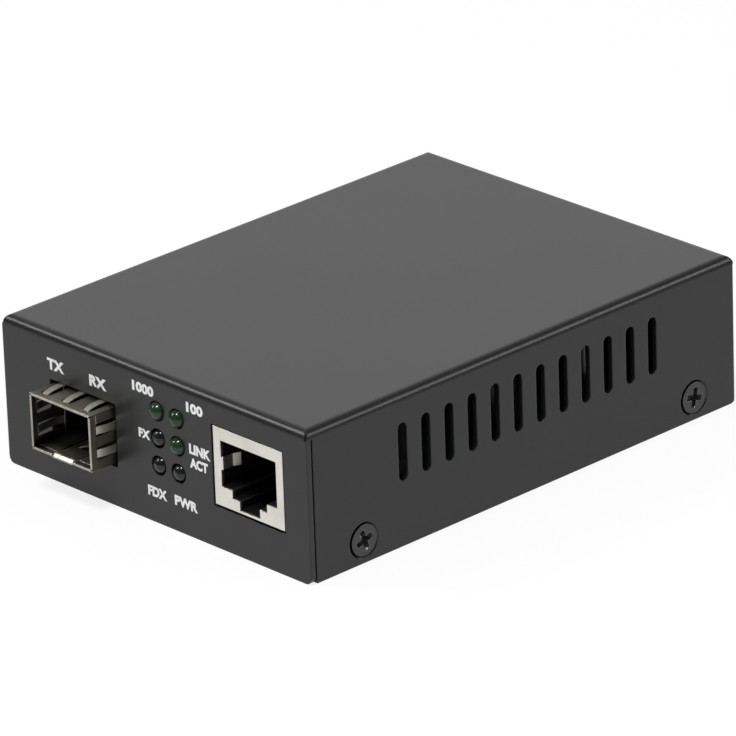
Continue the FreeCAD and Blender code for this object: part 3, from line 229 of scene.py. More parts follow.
def finish(slot, recipe):
    # colour from grain, smudges, pale edges that are wear and on some metals also a painted highlight,
    # and where a recipe asks, painted shade in closed-in spots; roughness from grain and smudges, and bump
    # from the grain over rounded edges
    material, tree = newMaterial(slot + "_look")
    out = put(tree, "ShaderNodeOutputMaterial", 900, 0)
    shader = put(tree, "ShaderNodeBsdfPrincipled", 620, 0, recipe.get("shader"))
    fineness = {"Size": recipe["grain"], "Stretch": recipe.get("stretch", (1.0, 1.0, 1.0))}
    fine = put(tree, "ShaderNodeGroup", -700, 200, fineness, node_tree=grain)
    soft = put(tree, "ShaderNodeGroup", -700, -20, {"Size": recipe["patch"]}, node_tree=smudge)
    edge = put(tree, "ShaderNodeGroup", -700, -240, {"Radius": recipe["edge"]}, node_tree=edgeWearAndSheen)
    dark, light = (tuple(c * f for c in recipe["colour"]) + (1.0,) for f in recipe["spread"])
    tint = put(tree, "ShaderNodeMix", -380, 200, data_type="RGBA")
    tint.inputs["A"].default_value = dark
    tint.inputs["B"].default_value = light
    stain = put(tree, "ShaderNodeMix", -160, 120, data_type="RGBA")
    stain.inputs["B"].default_value = recipe["stain"] + (1.0,)
    stainShare = put(tree, "ShaderNodeMath", -380, -20, {1: recipe["stainShare"]}, operation="MULTIPLY")
    wearAndSheenMix = put(tree, "ShaderNodeMix", 60, 60, data_type="RGBA")
    wearAndSheenMix.inputs["B"].default_value = recipe["wearAndSheenColour"] + (1.0,)
    wearAndSheenFactor = put(tree, "ShaderNodeMath", -380, -240, {1: recipe["wearAndSheenShare"]}, operation="MULTIPLY")
    roughness = dict(zip(("To Min", "To Max"), recipe["rough"]))
    rough = put(tree, "ShaderNodeMapRange", -160, -100, roughness)
    roughMix = put(tree, "ShaderNodeMath", 60, -140, {1: recipe["smear"]}, operation="MULTIPLY_ADD")
    relief = {"Strength": recipe["bump"], "Distance": recipe["depth"] * mm}
    bump = put(tree, "ShaderNodeBump", 300, -300, relief)
    join(
        tree,
        (fine.outputs["Value"], tint.inputs["Factor"]),
        (tint.outputs["Result"], stain.inputs["A"]),
        (soft.outputs["Mask"], stainShare.inputs[0]),
        (stainShare.outputs["Value"], stain.inputs["Factor"]),
        (stain.outputs["Result"], wearAndSheenMix.inputs["A"]),
        (edge.outputs["Mask"], wearAndSheenFactor.inputs[0]),
        (wearAndSheenFactor.outputs["Value"], wearAndSheenMix.inputs["Factor"]),
        (fine.outputs["Value"], rough.inputs["Value"]),
        (soft.outputs["Mask"], roughMix.inputs[0]),
        (rough.outputs["Result"], roughMix.inputs[2]),
        (roughMix.outputs["Value"], shader.inputs["Roughness"]),
        (fine.outputs["Value"], bump.inputs["Height"]),
        (edge.outputs["Normal"], bump.inputs["Normal"]),
        (bump.outputs["Normal"], shader.inputs["Normal"]),
        (shader.outputs["BSDF"], out.inputs["Surface"]),
    )
    # painted shade: where a recipe gives a reach, its base colour is darkened towards deep in spots that
    # are closed in, where little light reaches
    if "reach" in recipe:  # a port's metal and plastic darken where they are closed in
        closedIn = {label: recipe[label.lower()] for label in ("Reach", "Middle", "Outward")}
        paintedShadeMask = put(tree, "ShaderNodeGroup", 60, 420, closedIn, node_tree=recess)
        paintedShadeFactor = put(tree, "ShaderNodeMath", 220, 420, {1: recipe["paintedShadeShare"]}, operation="MULTIPLY")
        deep = put(tree, "ShaderNodeMix", 400, 240, data_type="RGBA")
        deep.inputs["B"].default_value = recipe["deep"] + (1.0,)
        join(
            tree,
            (paintedShadeMask.outputs["Mask"], paintedShadeFactor.inputs[0]),
            (paintedShadeFactor.outputs["Value"], deep.inputs["Factor"]),
            (wearAndSheenMix.outputs["Result"], deep.inputs["A"]),
            (deep.outputs["Result"], shader.inputs["Base Color"]),
        )
    else:
        join(tree, (wearAndSheenMix.outputs["Result"], shader.inputs["Base Color"]))
    return material


# middles of the two ports, in metres
fibrePort = (-0.0166, -0.030, 0.0125)
copperPort = (0.0221, -0.040, 0.0145)

# grain, patch, edge, depth and reach are in millimetres, and spread is how dark and light the grain goes
# rough is the roughness at both ends of the grain, and smear what a smudge adds to it
# where given, reach, middle, outward, deep and its share lay painted shade in the colour deep on closed-in
# spots
recipes = dict(
    case_paint=dict(
        colour=(0.011, 0.011, 0.0118), spread=(0.86, 1.16), grain=0.34, patch=22.0, edge=0.3,
        stain=(0.017, 0.017, 0.018), stainShare=0.12, wearAndSheenColour=(0.06, 0.06, 0.062), wearAndSheenShare=0.3,
        rough=(0.285, 0.345), smear=0.012, bump=0.35, depth=0.02, shader={"Specular IOR Level": 0.43},
    ),
    # its pale edges are partly wear and partly a painted glint round the cross recess
    screw_black=dict(
        colour=(0.040, 0.040, 0.042), spread=(0.8, 1.25), grain=0.4, patch=3.0, edge=0.16,
        stain=(0.06, 0.06, 0.06), stainShare=0.4, wearAndSheenColour=(0.5, 0.5, 0.5), wearAndSheenShare=0.8,
        rough=(0.24, 0.40), smear=0.08, bump=0.2, depth=0.02, shader={"Metallic": 0.4},
    ),
    bright_steel=dict(
        colour=(0.62, 0.62, 0.60), spread=(0.85, 1.1), grain=0.5, patch=4.0, edge=0.12,
        stain=(0.42, 0.42, 0.40), stainShare=0.4, wearAndSheenColour=(0.8, 0.8, 0.78), wearAndSheenShare=0.6,
        rough=(0.22, 0.36), smear=0.1, bump=0.15, depth=0.02, shader={"Metallic": 1.0},
    ),
    # a dark solder-mask green, made darker still as painted shade for the board seen inside the case and
    # the cage
    board_green=dict(
        colour=(0.012, 0.05, 0.028), spread=(0.8, 1.2), grain=0.8, patch=6.0, edge=0.2,
        stain=(0.016, 0.065, 0.035), stainShare=0.5, wearAndSheenColour=(0.07, 0.09, 0.05), wearAndSheenShare=0.5,
        rough=(0.3, 0.42), smear=0.1, bump=0.2, depth=0.03,
    ),
    # its pale edges are partly wear and partly a painted highlight on the rim of the mouth; deep is
    # painted shade inside the fibre port
    cage_nickel=dict(
        colour=(0.44, 0.425, 0.355), spread=(0.82, 1.12), grain=0.22, patch=4.0, edge=0.2,
        stretch=(1.0, 0.12, 1.0), stain=(0.28, 0.27, 0.21), stainShare=0.5,
        wearAndSheenColour=(0.86, 0.84, 0.74), wearAndSheenShare=1.1,
        rough=(0.30, 0.42), smear=0.12, bump=0.25, depth=0.02, shader={"Metallic": 1.0},
        reach=8.0, middle=fibrePort, outward=0.45, deep=(0.008, 0.009, 0.006), paintedShadeShare=1.9,
    ),
    finger_painted_sheen=dict(  # the collar's fingers, a lighter copy of the nickel: a painted sheen where they bow out
        colour=(0.56, 0.55, 0.46), spread=(0.86, 1.1), grain=0.22, patch=3.0, edge=0.14,
        stretch=(1.0, 0.12, 1.0), stain=(0.42, 0.41, 0.33), stainShare=0.5,
        wearAndSheenColour=(0.92, 0.90, 0.80), wearAndSheenShare=0.9,
        rough=(0.30, 0.42), smear=0.12, bump=0.25, depth=0.02, shader={"Metallic": 1.0},
    ),
    # in the copper port, deep is painted shade on the tin where it is closed in
    shield_tin=dict(
        colour=(0.80, 0.78, 0.73), spread=(0.9, 1.06), grain=0.5, patch=5.0, edge=0.16,
        stain=(0.68, 0.66, 0.60), stainShare=0.4, wearAndSheenColour=(0.88, 0.86, 0.81), wearAndSheenShare=0.5,
        rough=(0.24, 0.34), smear=0.1, bump=0.15, depth=0.02, shader={"Metallic": 0.95},
        reach=3.0, middle=copperPort, outward=1.0, deep=(0.012, 0.012, 0.011), paintedShadeShare=1.5,
    ),
    # deep is painted shade on the black plastic deep in the copper port
    port_black=dict(
        colour=(0.005, 0.005, 0.0055), spread=(0.8, 1.3), grain=0.25, patch=4.0, edge=0.5,
        stain=(0.008, 0.008, 0.008), stainShare=0.4, wearAndSheenColour=(0.09, 0.09, 0.088), wearAndSheenShare=0.8,
        rough=(0.42, 0.56), smear=0.08, bump=0.3, depth=0.02, shader={"Specular IOR Level": 0.2},
        reach=3.0, middle=copperPort, outward=1.0, deep=(0.001, 0.001, 0.001), paintedShadeShare=1.6,
    ),
    contact_gold=dict(
        colour=(0.83, 0.62, 0.28), spread=(0.85, 1.1), grain=0.3, patch=2.0, edge=0.08,
        stain=(0.6, 0.42, 0.18), stainShare=0.4, wearAndSheenColour=(0.95, 0.8, 0.5), wearAndSheenShare=0.6,
        rough=(0.16, 0.28), smear=0.1, bump=0.1, depth=0.01, shader={"Metallic": 1.0},
    ),
    chip_black=dict(
        colour=(0.02, 0.02, 0.022), spread=(0.75, 1.35), grain=0.18, patch=3.0, edge=0.12,
        stain=(0.03, 0.03, 0.03), stainShare=0.5, wearAndSheenColour=(0.07, 0.07, 0.07), wearAndSheenShare=0.6,
        rough=(0.5, 0.66), smear=0.06, bump=0.4, depth=0.02,
    ),
    capacitor_sleeve=dict(
        colour=(0.02, 0.02, 0.022), spread=(0.85, 1.15), grain=0.5, patch=5.0, edge=0.3,
        stretch=(1.0, 1.0, 0.2), stain=(0.03, 0.03, 0.032), stainShare=0.3,
        wearAndSheenColour=(0.06, 0.06, 0.06), wearAndSheenShare=0.4,
        rough=(0.14, 0.24), smear=0.08, bump=0.1, depth=0.02,
    ),
    ferrite_grey=dict(
        colour=(0.06, 0.06, 0.062), spread=(0.7, 1.35), grain=0.3, patch=3.0, edge=0.2,
        stain=(0.08, 0.08, 0.08), stainShare=0.5, wearAndSheenColour=(0.14, 0.14, 0.14), wearAndSheenShare=0.6,
        rough=(0.55, 0.7), smear=0.06, bump=0.5, depth=0.03,
    ),
    print_white=dict(
        colour=(0.74, 0.75, 0.74), spread=(0.9, 1.06), grain=0.2, patch=2.0, edge=0.02,
        stain=(0.6, 0.62, 0.6), stainShare=0.4, wearAndSheenColour=(0.5, 0.5, 0.5), wearAndSheenShare=0.2,
        rough=(0.5, 0.62), smear=0.06, bump=0.2, depth=0.01,
    ),
    lamp_green=dict(
        colour=(0.028, 0.055, 0.030), spread=(0.85, 1.15), grain=1.2, patch=2.0, edge=0.05,
        stain=(0.04, 0.10, 0.05), stainShare=0.4, wearAndSheenColour=(0.1, 0.2, 0.1), wearAndSheenShare=0.2,
        rough=(0.13, 0.20), smear=0.04, bump=0.05, depth=0.01,
        shader={"IOR": 1.54, "Transmission Weight": 0.55, "Specular IOR Level": 0.35},
    ),
    lamp_clear=dict(
        colour=(0.020, 0.025, 0.023), spread=(0.85, 1.15), grain=1.2, patch=2.0, edge=0.05,
        stain=(0.03, 0.036, 0.034), stainShare=0.4, wearAndSheenColour=(0.12, 0.14, 0.13), wearAndSheenShare=0.2,
        rough=(0.13, 0.20), smear=0.04, bump=0.05, depth=0.01,
        shader={"IOR": 1.54, "Transmission Weight": 0.6, "Specular IOR Level": 0.35},
    ),
)
looks = {slot: finish(slot, recipe) for slot, recipe in recipes.items()}
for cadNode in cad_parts.values():
    slotName = cadNode.material_slots[0].material.name
    cadNode.material_slots[0].material = looks[slotName]
print("materials made")


def addMesh(name, corners, faces, slot, smooth=True, look=None):
    mesh = bpy.data.meshes.new(name)
    mesh.from_pydata(np.asarray(corners, float).tolist(), [], faces)
    mesh.polygons.foreach_set("use_smooth", np.full(len(mesh.polygons), smooth))
    mesh.materials.append(looks[look or slot])
    mesh.update()
    piece = bpy.data.objects.new(name, mesh)
    scene.collection.objects.link(piece)
    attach(piece, "root")
    return piece


def ringFaces(rings, sides):
    # quads between each ring of points and the next
    near = np.arange(rings - 1)[:, None] * sides + np.arange(sides)[None, :]
    nextAlong = np.arange(rings - 1)[:, None] * sides + (np.arange(sides) + 1)[None, :] % sides
    return np.stack([near, nextAlong, nextAlong + sides, near + sides], -1).reshape(-1, 4).tolist()


def closedFaces(rings, sides, base=0, turn=0):
    # outward faces of a turned solid: quads between its rings, and a fan of triangles at each end,
    # on the two points that follow the rings, counted from base
    # turn moves the first corner of each quad, and so the diagonal that it is split on
    quads = np.roll(np.array(ringFaces(rings, sides))[:, ::-1], turn, 1)
    k = np.arange(sides)
    n = (k + 1) % sides
    last = rings * sides
    front = np.stack([np.full(sides, last), k, n], -1)
    back = np.stack([np.full(sides, last + 1), last - sides + n, last - sides + k], -1)
    fans = np.stack([front, back], 1).reshape(-1, 3)
    return (quads + base).tolist() + (fans + base).tolist()


# lamp lens: a barrel of radius r and a dome nose
# nose: (y, rho) = (tip + r - r cos t, r sin t), t up to 90 degrees, then straight back to the rear
lens = dict(
    radius=1.5 * mm,
    length=5.3 * mm,
    sides=40,
    dome=12,  # rings of the nose
    firstAngle=0.06,  # t at the nose's smallest ring, in radians
)
lamps = [
    dict(name="lens_speed_high", node="led_speed_high", x=1.05, z=19.65, tip=-49.15, slot="lamp_green"),
    dict(name="lens_speed_low", node="led_speed_low", x=5.65, z=19.65, tip=-49.15, slot="lamp_green"),
    dict(name="lens_link", node="led_link", x=5.65, z=14.95, tip=-49.15, slot="lamp_green"),
    dict(name="lens_fibre_link", node="led_fibre_link", x=1.05, z=14.95, tip=-48.65, slot="lamp_clear"),
    dict(name="lens_duplex", node="led_duplex", x=1.05, z=10.25, tip=-48.65, slot="lamp_clear"),
    dict(name="lens_power", node="led_power", x=5.65, z=10.25, tip=-48.65, slot="lamp_clear"),
]


def lensMesh(lamp):
    t = np.linspace(lens["firstAngle"], math.pi / 2, lens["dome"])
    tip = lamp["tip"] * mm
    rear = tip + lens["length"]
    along = np.concatenate([tip + lens["radius"] * (1 - np.cos(t)), [rear]])
    rho = np.concatenate([lens["radius"] * np.sin(t), [lens["radius"]]])
    a = np.linspace(0, 2 * math.pi, lens["sides"], endpoint=False)
    corners = np.stack(
        [
            lamp["x"] * mm + rho[:, None] * np.cos(a)[None, :],
            np.repeat(along[:, None], lens["sides"], 1),
            lamp["z"] * mm + rho[:, None] * np.sin(a)[None, :],
        ],
        -1,
    ).reshape(-1, 3)
    ends = [[lamp["x"] * mm, y, lamp["z"] * mm] for y in (tip, rear)]
    return np.vstack([corners, ends]), closedFaces(len(rho), lens["sides"])


for lamp in lamps:
    corners, faces = lensMesh(lamp)
    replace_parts(addMesh(lamp["name"], corners, faces, lamp["slot"]), lamp["node"])
print("lamp lenses made")

# cover screw: countersunk head, shank, and a cross recess that narrows downwards
# head: rho up to head, a short land straight back, then a cone to the shank at 45 degrees
# the lid's countersink is wider than the head, and shows as a dark ring round it
# recess edge at angle a: rho = max(min(w / |sin a|, l / |cos a|), min(w / |cos a|, l / |sin a|))
screw = dict(
    face=35.43 * mm,
    height=3.82 * mm,
    places=(-36.222 * mm, 38.412 * mm),  # a touch behind the middle of each countersink
    head=2.70 * mm,
    land=0.15 * mm,
    shank=1.75 * mm,
    length=5.0 * mm,
    rim=0.09 * mm,  # small round at the head's edge
    lead=(0.97, 0.10 * mm),  # bevel of the recess's edge: share of its width, and depth
    arm=(0.52 * mm, 1.75 * mm),  # half width and length at the face
    tip=(0.42 * mm, 1.0 * mm),  # the same at the bottom
    depth=1.4 * mm,
    turns=(18.0, -14.0, 61.0, 20.0),  # degrees: right front, right rear, left front, left rear
)


def crossEdge(angle, halfWidth, reach):
    tiny = 1e-9  # keeps the divisions finite on the axes
    s, c = np.abs(np.sin(angle)) + tiny, np.abs(np.cos(angle)) + tiny
    return np.maximum(np.minimum(halfWidth / s, reach / c), np.minimum(halfWidth / c, reach / s))


def screwMesh(screw):
    corner = math.atan2(*screw["arm"])  # angle of an arm's corner, with points close on both sides of it
    quarter = [0.0, corner * 0.5, corner * 0.98, corner * 1.12, (corner + math.pi / 4) / 2, math.pi / 4]
    quarter += [math.pi / 2 - a for a in quarter[::-1][1:-1]]
    angle = np.concatenate([np.array(quarter) + math.pi / 2 * k for k in range(4)])
    sides = len(angle)
    edge = crossEdge(angle, *screw["arm"])
    floor = crossEdge(angle, *screw["tip"])
    head, shank, rim = screw["head"], screw["shank"], screw["rim"]
    leadShare, leadDepth = screw["lead"]
    rings = [  # radius and depth below the face, from the recess out and round to the back
        (floor, screw["depth"]),
        (edge * leadShare, leadDepth),
        (edge, 0.0),
        (edge * 0.3 + 0.7 * (head - rim), 0.0),
        (head - rim, 0.0),
        (head - rim * 0.3, rim * 0.3),
        (head, rim),
        (head, screw["land"]),
        (shank, screw["land"] + head - shank),
        (shank, screw["length"]),
    ]
    rho = np.stack([np.broadcast_to(r, sides) for r, _ in rings])
    deep = np.array([d for _, d in rings])[:, None] + np.zeros(sides)
    corners, faces = [], []
    turns = iter(screw["turns"])
    for sign in (1, -1):
        for place in screw["places"]:
            a = angle + math.radians(next(turns))
            base = sum(len(c) for c in corners)
            ring = np.stack(
                [
                    sign * (screw["face"] - deep),
                    place + sign * rho * np.cos(a),
                    screw["height"] + rho * np.sin(a),
                ],
                -1,
            )
            depths = (screw["depth"], screw["length"])
            ends = [[sign * (screw["face"] - d), place, screw["height"]] for d in depths]
            corners += [ring.reshape(-1, 3), np.array(ends)]
            faces += closedFaces(len(rings), sides, base, turn=1)
    return np.vstack(corners), faces


screws = addMesh("cover_screw_set", *screwMesh(screw), "screw_black", smooth=False)
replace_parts(screws, "cover_screws")

# bright burrs left by the driver at the front cross: beads, (rho, x) = (r sin t, r cos t)
burrs = [
    dict(name="screw_burr_low", y=-35.76, z=2.17, radius=0.25),
    dict(name="screw_burr_high", y=-37.1, z=4.75, radius=0.10),
]
bead = dict(
    steps=9,  # values of t, with both poles
    sides=12,
    proud=0.06 * mm,  # how far it stands out of the screw's face
)


def beadMesh(burr):
    t = np.linspace(0, math.pi, bead["steps"])[1:-1]
    a = np.linspace(0, 2 * math.pi, bead["sides"], endpoint=False)
    r = burr["radius"] * mm
    middle = np.array([screw["face"] + bead["proud"] - r, burr["y"] * mm, burr["z"] * mm])
    ring = np.stack(
        [
            np.repeat(r * np.cos(t)[:, None], bead["sides"], 1),
            r * np.sin(t)[:, None] * np.cos(a)[None, :],
            r * np.sin(t)[:, None] * np.sin(a)[None, :],
        ],
        -1,
    ).reshape(-1, 3)
    corners = np.vstack([ring, [[r, 0, 0], [-r, 0, 0]]]) + middle
    return corners, closedFaces(len(t), bead["sides"])


for burr in burrs:
    addMesh(burr["name"], *beadMesh(burr), "bright_steel")
print("cover screws made")


def band(along, level, low, high, sheet, wall):
    # closed strip of sheet on one wall: four corners at each point along it
    # wall: a point on it, the way across it, and the way out of it
    spread = np.broadcast_arrays(along, level, low, high)
    along, level, low, high = (np.atleast_1d(v).astype(float) for v in spread)
    start, across, out = (np.array(v, float) for v in wall)
    forward = np.array([0.0, 1.0, 0.0])
    spots = [(low, level), (high, level), (high, level - sheet), (low, level - sheet)]
    rings = np.stack(
        [start + along[:, None] * forward + u[:, None] * across + h[:, None] * out for u, h in spots],
        1,
    )
    faces = ringFaces(len(along), 4)
    last = (len(along) - 1) * 4
    faces += [[3, 2, 1, 0], [last, last + 1, last + 2, last + 3]]
    if np.dot(np.cross(across, forward), out) < 0:
        faces = [f[::-1] for f in faces]
    return rings.reshape(-1, 3) * mm, faces


def gather(parts):
    corners, faces, count = [], [], 0
    for points, quads in parts:
        corners.append(points)
        faces += [[count + k for k in f] for f in quads]
        count += len(points)
    return np.vstack(corners), faces


# spring collar round the mouth of the fibre port: rim, ribs, rear band and bowed fingers in slots
# finger: level = bow (1 - (2 s - 1) squared) over the sheet, s from 0 to 1 along the slot
# sizes in millimetres
collar = dict(
    centre=-16.6,
    side=7.17,
    low=7.53,
    high=17.27,
    sheet=0.15,
    mouth=-53.0,
    lip=(0.3, 0.37),  # run and thickness of the turned edge at the mouth
    slots=(-51.7, -45.5),
    rear=-44.8,
    floorRear=-47.2,
    gap=2.36,  # half width of the tongue's opening
    slit=0.45,
    bow=0.49,
    steps=13,  # points along a finger
    topFingers=(-4.85, 0.0, 4.85),  # middles of the fingers on top, across from the centre
    topHalf=0.62,  # half width of each
    sideFingers=(10.37, 14.37),  # heights of the fingers on both sides
    sideHalf=0.66,
)
collarWalls = [
    dict(
        wall=((collar["centre"], 0, collar["high"]), (1, 0, 0), (0, 0, 1)),
        span=(-collar["side"], collar["side"]),
        fingers=collar["topFingers"],
        half=collar["topHalf"],
    )
]
collarWalls += [
    dict(
        wall=((collar["centre"] + way * collar["side"], 0, 0), (0, 0, 1), (way, 0, 0)),
        span=(collar["low"] + collar["sheet"], collar["high"] - collar["sheet"]),
        fingers=collar["sideFingers"],
        half=collar["sideHalf"],
    )
    for way in (1, -1)
]


def collarMesh(collar):
    sheet, mouth = collar["sheet"], collar["mouth"]
    lipRun, lipSheet = collar["lip"]
    start, end = collar["slots"]
    parts = []
    for side in collarWalls:
        low, high = side["span"]
        room = side["half"] + collar["slit"]
        cuts = [low] + [u + k * room for u in side["fingers"] for k in (-1, 1)] + [high]
        parts.append(band([mouth, mouth + lipRun], 0, low, high, lipSheet, side["wall"]))
        parts.append(band([mouth + lipRun, start], 0, low, high, sheet, side["wall"]))
        parts.append(band([end, collar["rear"]], 0, low, high, sheet, side["wall"]))
        parts += [band([start, end], 0, a, b, sheet, side["wall"]) for a, b in zip(cuts[::2], cuts[1::2])]
    under = ((collar["centre"], 0, collar["low"]), (1, 0, 0), (0, 0, -1))
    for a, b in ((-collar["side"], -collar["gap"]), (collar["gap"], collar["side"])):
        parts.append(band([mouth, mouth + lipRun], 0, a, b, lipSheet, under))
        parts.append(band([mouth + lipRun, collar["floorRear"]], 0, a, b, sheet, under))
    return gather(parts)


def fingerMesh(collar):
    start, end = collar["slots"]
    s = np.linspace(0, 1, collar["steps"])
    along = start + (end - start) * s
    arch = collar["bow"] * (1 - (2 * s - 1) ** 2)
    return gather([
        band(along, arch, u - side["half"], u + side["half"], collar["sheet"], side["wall"])
        for side in collarWalls
        for u in side["fingers"]
    ])


collarSheet = addMesh("spring_collar_sheet", *collarMesh(collar), "cage_nickel", smooth=False)
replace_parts(collarSheet, "sfp_spring_collar")
addMesh("spring_collar_fingers", *fingerMesh(collar), "cage_nickel", smooth=False, look="finger_painted_sheen")

# floor of the cage with its sprung tongue, whose tip is turned up in a hump at the mouth
# its sizes are in millimetres too
# the latch hole narrows in a straight line from its full width to a point
cageFloor = dict(
    top=7.9,
    sheet=0.2,
    half=6.78,
    tongue=2.3,
    slit=0.45,
    front=-51.7,
    split=-38.7,
    rear=-15.0,
    tip=(  # place and level of the tongue's upper side, from its end back to where it is flat
        (-52.98, -0.33), (-52.78, -0.10), (-52.55, 0.14), (-52.3, 0.24),
        (-52.0, 0.25), (-51.5, 0.17), (-50.8, 0.05), (-50.2, 0.0),
    ),
    latch=(-48.3, 2.6),  # where the hole starts, and its width and length
)


def floorMesh(floor):
    wall = ((collar["centre"], 0, floor["top"]), (1, 0, 0), (0, 0, 1))
    sheet, tongue, outer = floor["sheet"], floor["tongue"], floor["half"]
    inner = tongue + floor["slit"]
    begin, size = floor["latch"]
    end = begin + size
    half = np.array([size / 2, 0.0])
    along, level = np.array(floor["tip"] + ((begin, 0.0),)).T
    return gather([
        band([floor["front"], floor["split"]], 0, -outer, -inner, sheet, wall),
        band([floor["front"], floor["split"]], 0, inner, outer, sheet, wall),
        band([floor["split"], floor["rear"]], 0, -outer, outer, sheet, wall),
        band(along, level, -tongue, tongue, sheet, wall),
        band([begin, end], 0, -tongue, -half, sheet, wall),
        band([begin, end], 0, half, tongue, sheet, wall),
        band([end, floor["split"]], 0, -tongue, tongue, sheet, wall),
    ])


floorSheet = addMesh("cage_floor_sheet", *floorMesh(cageFloor), "cage_nickel", smooth=False)
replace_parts(floorSheet, "sfp_cage_base")
print("spring collar and cage floor made")

# front lettering: generic function marks, flat letters raised by the thickness of the ink
marks = [
    dict(name="mark_out", text="TX", x=-22.83, z=20.56, width=4.03),
    dict(name="mark_in", text="RX", x=-12.73, z=20.51, width=4.05),
    dict(name="mark_fast", text="1000", x=-1.98, z=22.64, width=5.00),
    dict(name="mark_slow", text="100", x=10.03, z=22.51, width=3.84),
    dict(name="mark_fibre", text="FX", x=-2.09, z=14.82, width=2.69),
    dict(name="mark_link", text="LINK", x=10.87, z=15.45, width=4.91),
    dict(name="mark_active", text="ACT", x=10.54, z=13.04, width=4.16),
    dict(name="mark_duplex", text="FDX", x=0.39, z=5.30, width=4.44),
    dict(name="mark_power", text="PWR", x=7.12, z=5.39, width=5.35),
]
ink = dict(
    front=-48.0 * mm,
    thickness=0.02 * mm,
    bold=0.05,  # outline grown by this share of the letter size
    raised=0.01,  # extrusion of the letters before they are scaled to the ink's thickness
    steps=4,  # resolution of a letter's curves
    heights=dict(TX=1.95, RX=1.95, FX=1.6),  # millimetres
    plainHeight=1.75,  # the height of all other marks
)


def markMesh(mark):
    curve = bpy.data.curves.new(mark["name"] + "_text", "FONT")
    curve.body = mark["text"]
    curve.size = 1.0
    curve.offset = ink["bold"]
    curve.extrude = ink["raised"]
    curve.resolution_u = ink["steps"]
    holder = bpy.data.objects.new(curve.name, curve)
    mesh = bpy.data.meshes.new_from_object(holder)
    bpy.data.objects.remove(holder)
    points = np.empty(len(mesh.vertices) * 3)
    mesh.vertices.foreach_get("co", points)
    points = points.reshape(-1, 3)
    low, high = points.min(0), points.max(0)
    middle = (low + high) / 2
    wide = mark["width"] * mm / (high[0] - low[0])
    tall = ink["heights"].get(mark["text"], ink["plainHeight"]) * mm / (high[1] - low[1])
    deep = ink["thickness"] / (high[2] - low[2])
    placed = np.stack(
        [
            mark["x"] * mm + (points[:, 0] - middle[0]) * wide,
            ink["front"] - (points[:, 2] - low[2]) * deep,
            mark["z"] * mm + (points[:, 1] - middle[1]) * tall,
        ],
        -1,
    )
    mesh.vertices.foreach_set("co", placed.ravel())
    mesh.name = mark["name"]
    mesh.materials.clear()
    mesh.materials.append(looks["print_white"])
    mesh.update()
    return mesh


for mark in marks:
    piece = bpy.data.objects.new(mark["name"], markMesh(mark))
    scene.collection.objects.link(piece)
    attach(piece, "root")
print("lettering made")


# white floor and studio

ground = dict(
    half=1.2,
    colour=(0.82, 0.82, 0.82, 1.0),
    glow=0.8,
    mirrored=(0.85, 0.10),  # brightness in mirrors, near the case and far from it
    fade=(0.11, 0.24),  # distance at which the first turns into the second
)


def makeFloor(ground):
    mesh = bpy.data.meshes.new("floor")
    h = ground["half"]
    mesh.from_pydata([(-h, -h, 0), (h, -h, 0), (h, h, 0), (-h, h, 0)], [], [(0, 1, 2, 3)])
    material, tree = newMaterial("floor_look")
    seen = put(tree, "ShaderNodeLightPath", -500, 200)
    either = put(tree, "ShaderNodeMath", -300, 200, operation="MAXIMUM")
    anySeen = put(tree, "ShaderNodeMath", -120, 160, operation="MAXIMUM")
    share = put(tree, "ShaderNodeMath", 60, 160, {1: ground["glow"]}, operation="MULTIPLY")
    matt = put(tree, "ShaderNodeBsdfDiffuse", -120, -40, {"Color": ground["colour"]})
    spot = put(tree, "ShaderNodeTexCoord", -900, -200)
    away = put(tree, "ShaderNodeVectorMath", -720, -200, operation="LENGTH")
    faded = ease(tree, -540, -200, ground["fade"], ground["mirrored"])
    dimmed = put(tree, "ShaderNodeMapRange", -320, -200, {"To Min": 1.0})
    white = put(tree, "ShaderNodeEmission", -120, -200)
    mix = put(tree, "ShaderNodeMixShader", 260, 0)
    out = put(tree, "ShaderNodeOutputMaterial", 460, 0)
    join(
        tree,
        (seen.outputs["Is Camera Ray"], either.inputs[0]),
        (seen.outputs["Is Glossy Ray"], either.inputs[1]),
        (either.outputs["Value"], anySeen.inputs[0]),
        (seen.outputs["Is Transmission Ray"], anySeen.inputs[1]),
        (anySeen.outputs["Value"], share.inputs[0]),
        (spot.outputs["Object"], away.inputs[0]),
        (away.outputs["Value"], faded.inputs["Value"]),
        (seen.outputs["Is Glossy Ray"], dimmed.inputs["Value"]),
        (faded.outputs["Result"], dimmed.inputs["To Max"]),
        (dimmed.outputs["Result"], white.inputs["Strength"]),
        (share.outputs["Value"], mix.inputs["Fac"]),
        (matt.outputs["BSDF"], mix.inputs[1]),
        (white.outputs["Emission"], mix.inputs[2]),
        (mix.outputs["Shader"], out.inputs["Surface"]),
    )
    mesh.materials.append(material)
    floor = bpy.data.objects.new("floor", mesh)
    scene.collection.objects.link(floor)


sky = dict(
    soft=0.42,  # what lights matt surfaces
    seen=1.0,  # what the camera sees
    card=(-0.66, 0.62, 0.42),  # middle of the white card that the lid's top mirrors
    spread=(0.64, 0.97),  # cosine of the angle at which the card fades in, and where it is full
    level=(0.04, 0.97),  # mirrored light away from the card and on it
)


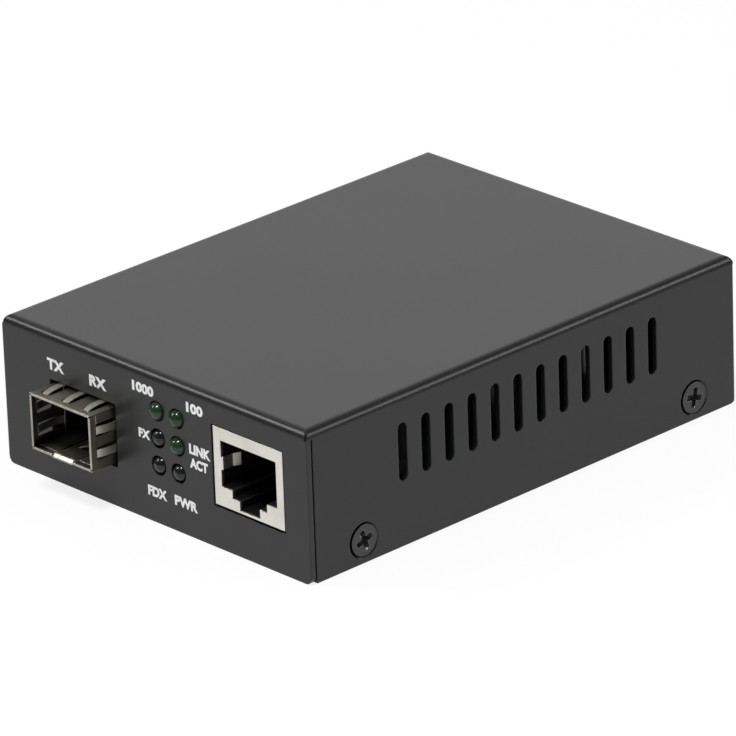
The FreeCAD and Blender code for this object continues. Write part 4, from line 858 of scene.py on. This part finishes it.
def makeWorld(sky):
    world = bpy.data.worlds.new("studio")
    world.use_nodes = True
    scene.world = world
    tree = world.node_tree
    tree.nodes.clear()
    seen = put(tree, "ShaderNodeLightPath", -700, 300)
    way = put(tree, "ShaderNodeTexCoord", -700, -100)
    nearCard = put(tree, "ShaderNodeVectorMath", -500, -100, {1: sky["card"]}, operation="DOT_PRODUCT")
    fade = ease(tree, -300, -100, sky["spread"], sky["level"])
    either = put(tree, "ShaderNodeMath", -300, 300, operation="MAXIMUM")
    dim = put(tree, "ShaderNodeBackground", -100, 120, {"Strength": sky["soft"]})
    shaped = put(tree, "ShaderNodeBackground", -100, -100)
    full = put(tree, "ShaderNodeBackground", -100, -260, {"Strength": sky["seen"]})
    for light in (dim, shaped, full):
        light.inputs["Color"].default_value = (1.0, 1.0, 1.0, 1.0)
    mirrored = put(tree, "ShaderNodeMixShader", 120, 60)
    direct = put(tree, "ShaderNodeMixShader", 320, 0)
    out = put(tree, "ShaderNodeOutputWorld", 520, 0)
    join(
        tree,
        (way.outputs["Generated"], nearCard.inputs[0]),
        (nearCard.outputs["Value"], fade.inputs["Value"]),
        (fade.outputs["Result"], shaped.inputs["Strength"]),
        (seen.outputs["Is Camera Ray"], either.inputs[0]),
        (seen.outputs["Is Transmission Ray"], either.inputs[1]),
        (seen.outputs["Is Glossy Ray"], mirrored.inputs["Fac"]),
        (dim.outputs["Background"], mirrored.inputs[1]),
        (shaped.outputs["Background"], mirrored.inputs[2]),
        (either.outputs["Value"], direct.inputs["Fac"]),
        (mirrored.outputs["Shader"], direct.inputs[1]),
        (full.outputs["Background"], direct.inputs[2]),
        (direct.outputs["Shader"], out.inputs["Surface"]),
    )


lights = [
    dict(name="overhead", spot=(0.08, -0.33, 0.94), aim=(0, 0, 0), size=(0.22, 0.22), power=7.0),
    dict(name="leftKey", spot=(-0.60, -0.47, 0.57), aim=(0, 0, 0.01), size=(0.17, 0.30), power=2.3),
    dict(name="rearStrip", spot=(0.64, 0.63, 0.44), aim=(0, 0, 0.01), size=(0.9, 0.14), power=3.0),
]


def addLight(light):
    data = bpy.data.lights.new(light["name"], "AREA")
    data.shape = "RECTANGLE"
    data.size, data.size_y = light["size"]
    data.energy = light["power"]
    lamp = bpy.data.objects.new(light["name"], data)
    spot = Vector(light["spot"])
    facing = (Vector(light["aim"]) - spot).to_track_quat("-Z", "Y")
    lamp.matrix_world = Matrix.Translation(spot) @ facing.to_matrix().to_4x4()
    scene.collection.objects.link(lamp)


makeFloor(ground)
makeWorld(sky)
for light in lights:
    addLight(light)
print("floor and lights made")
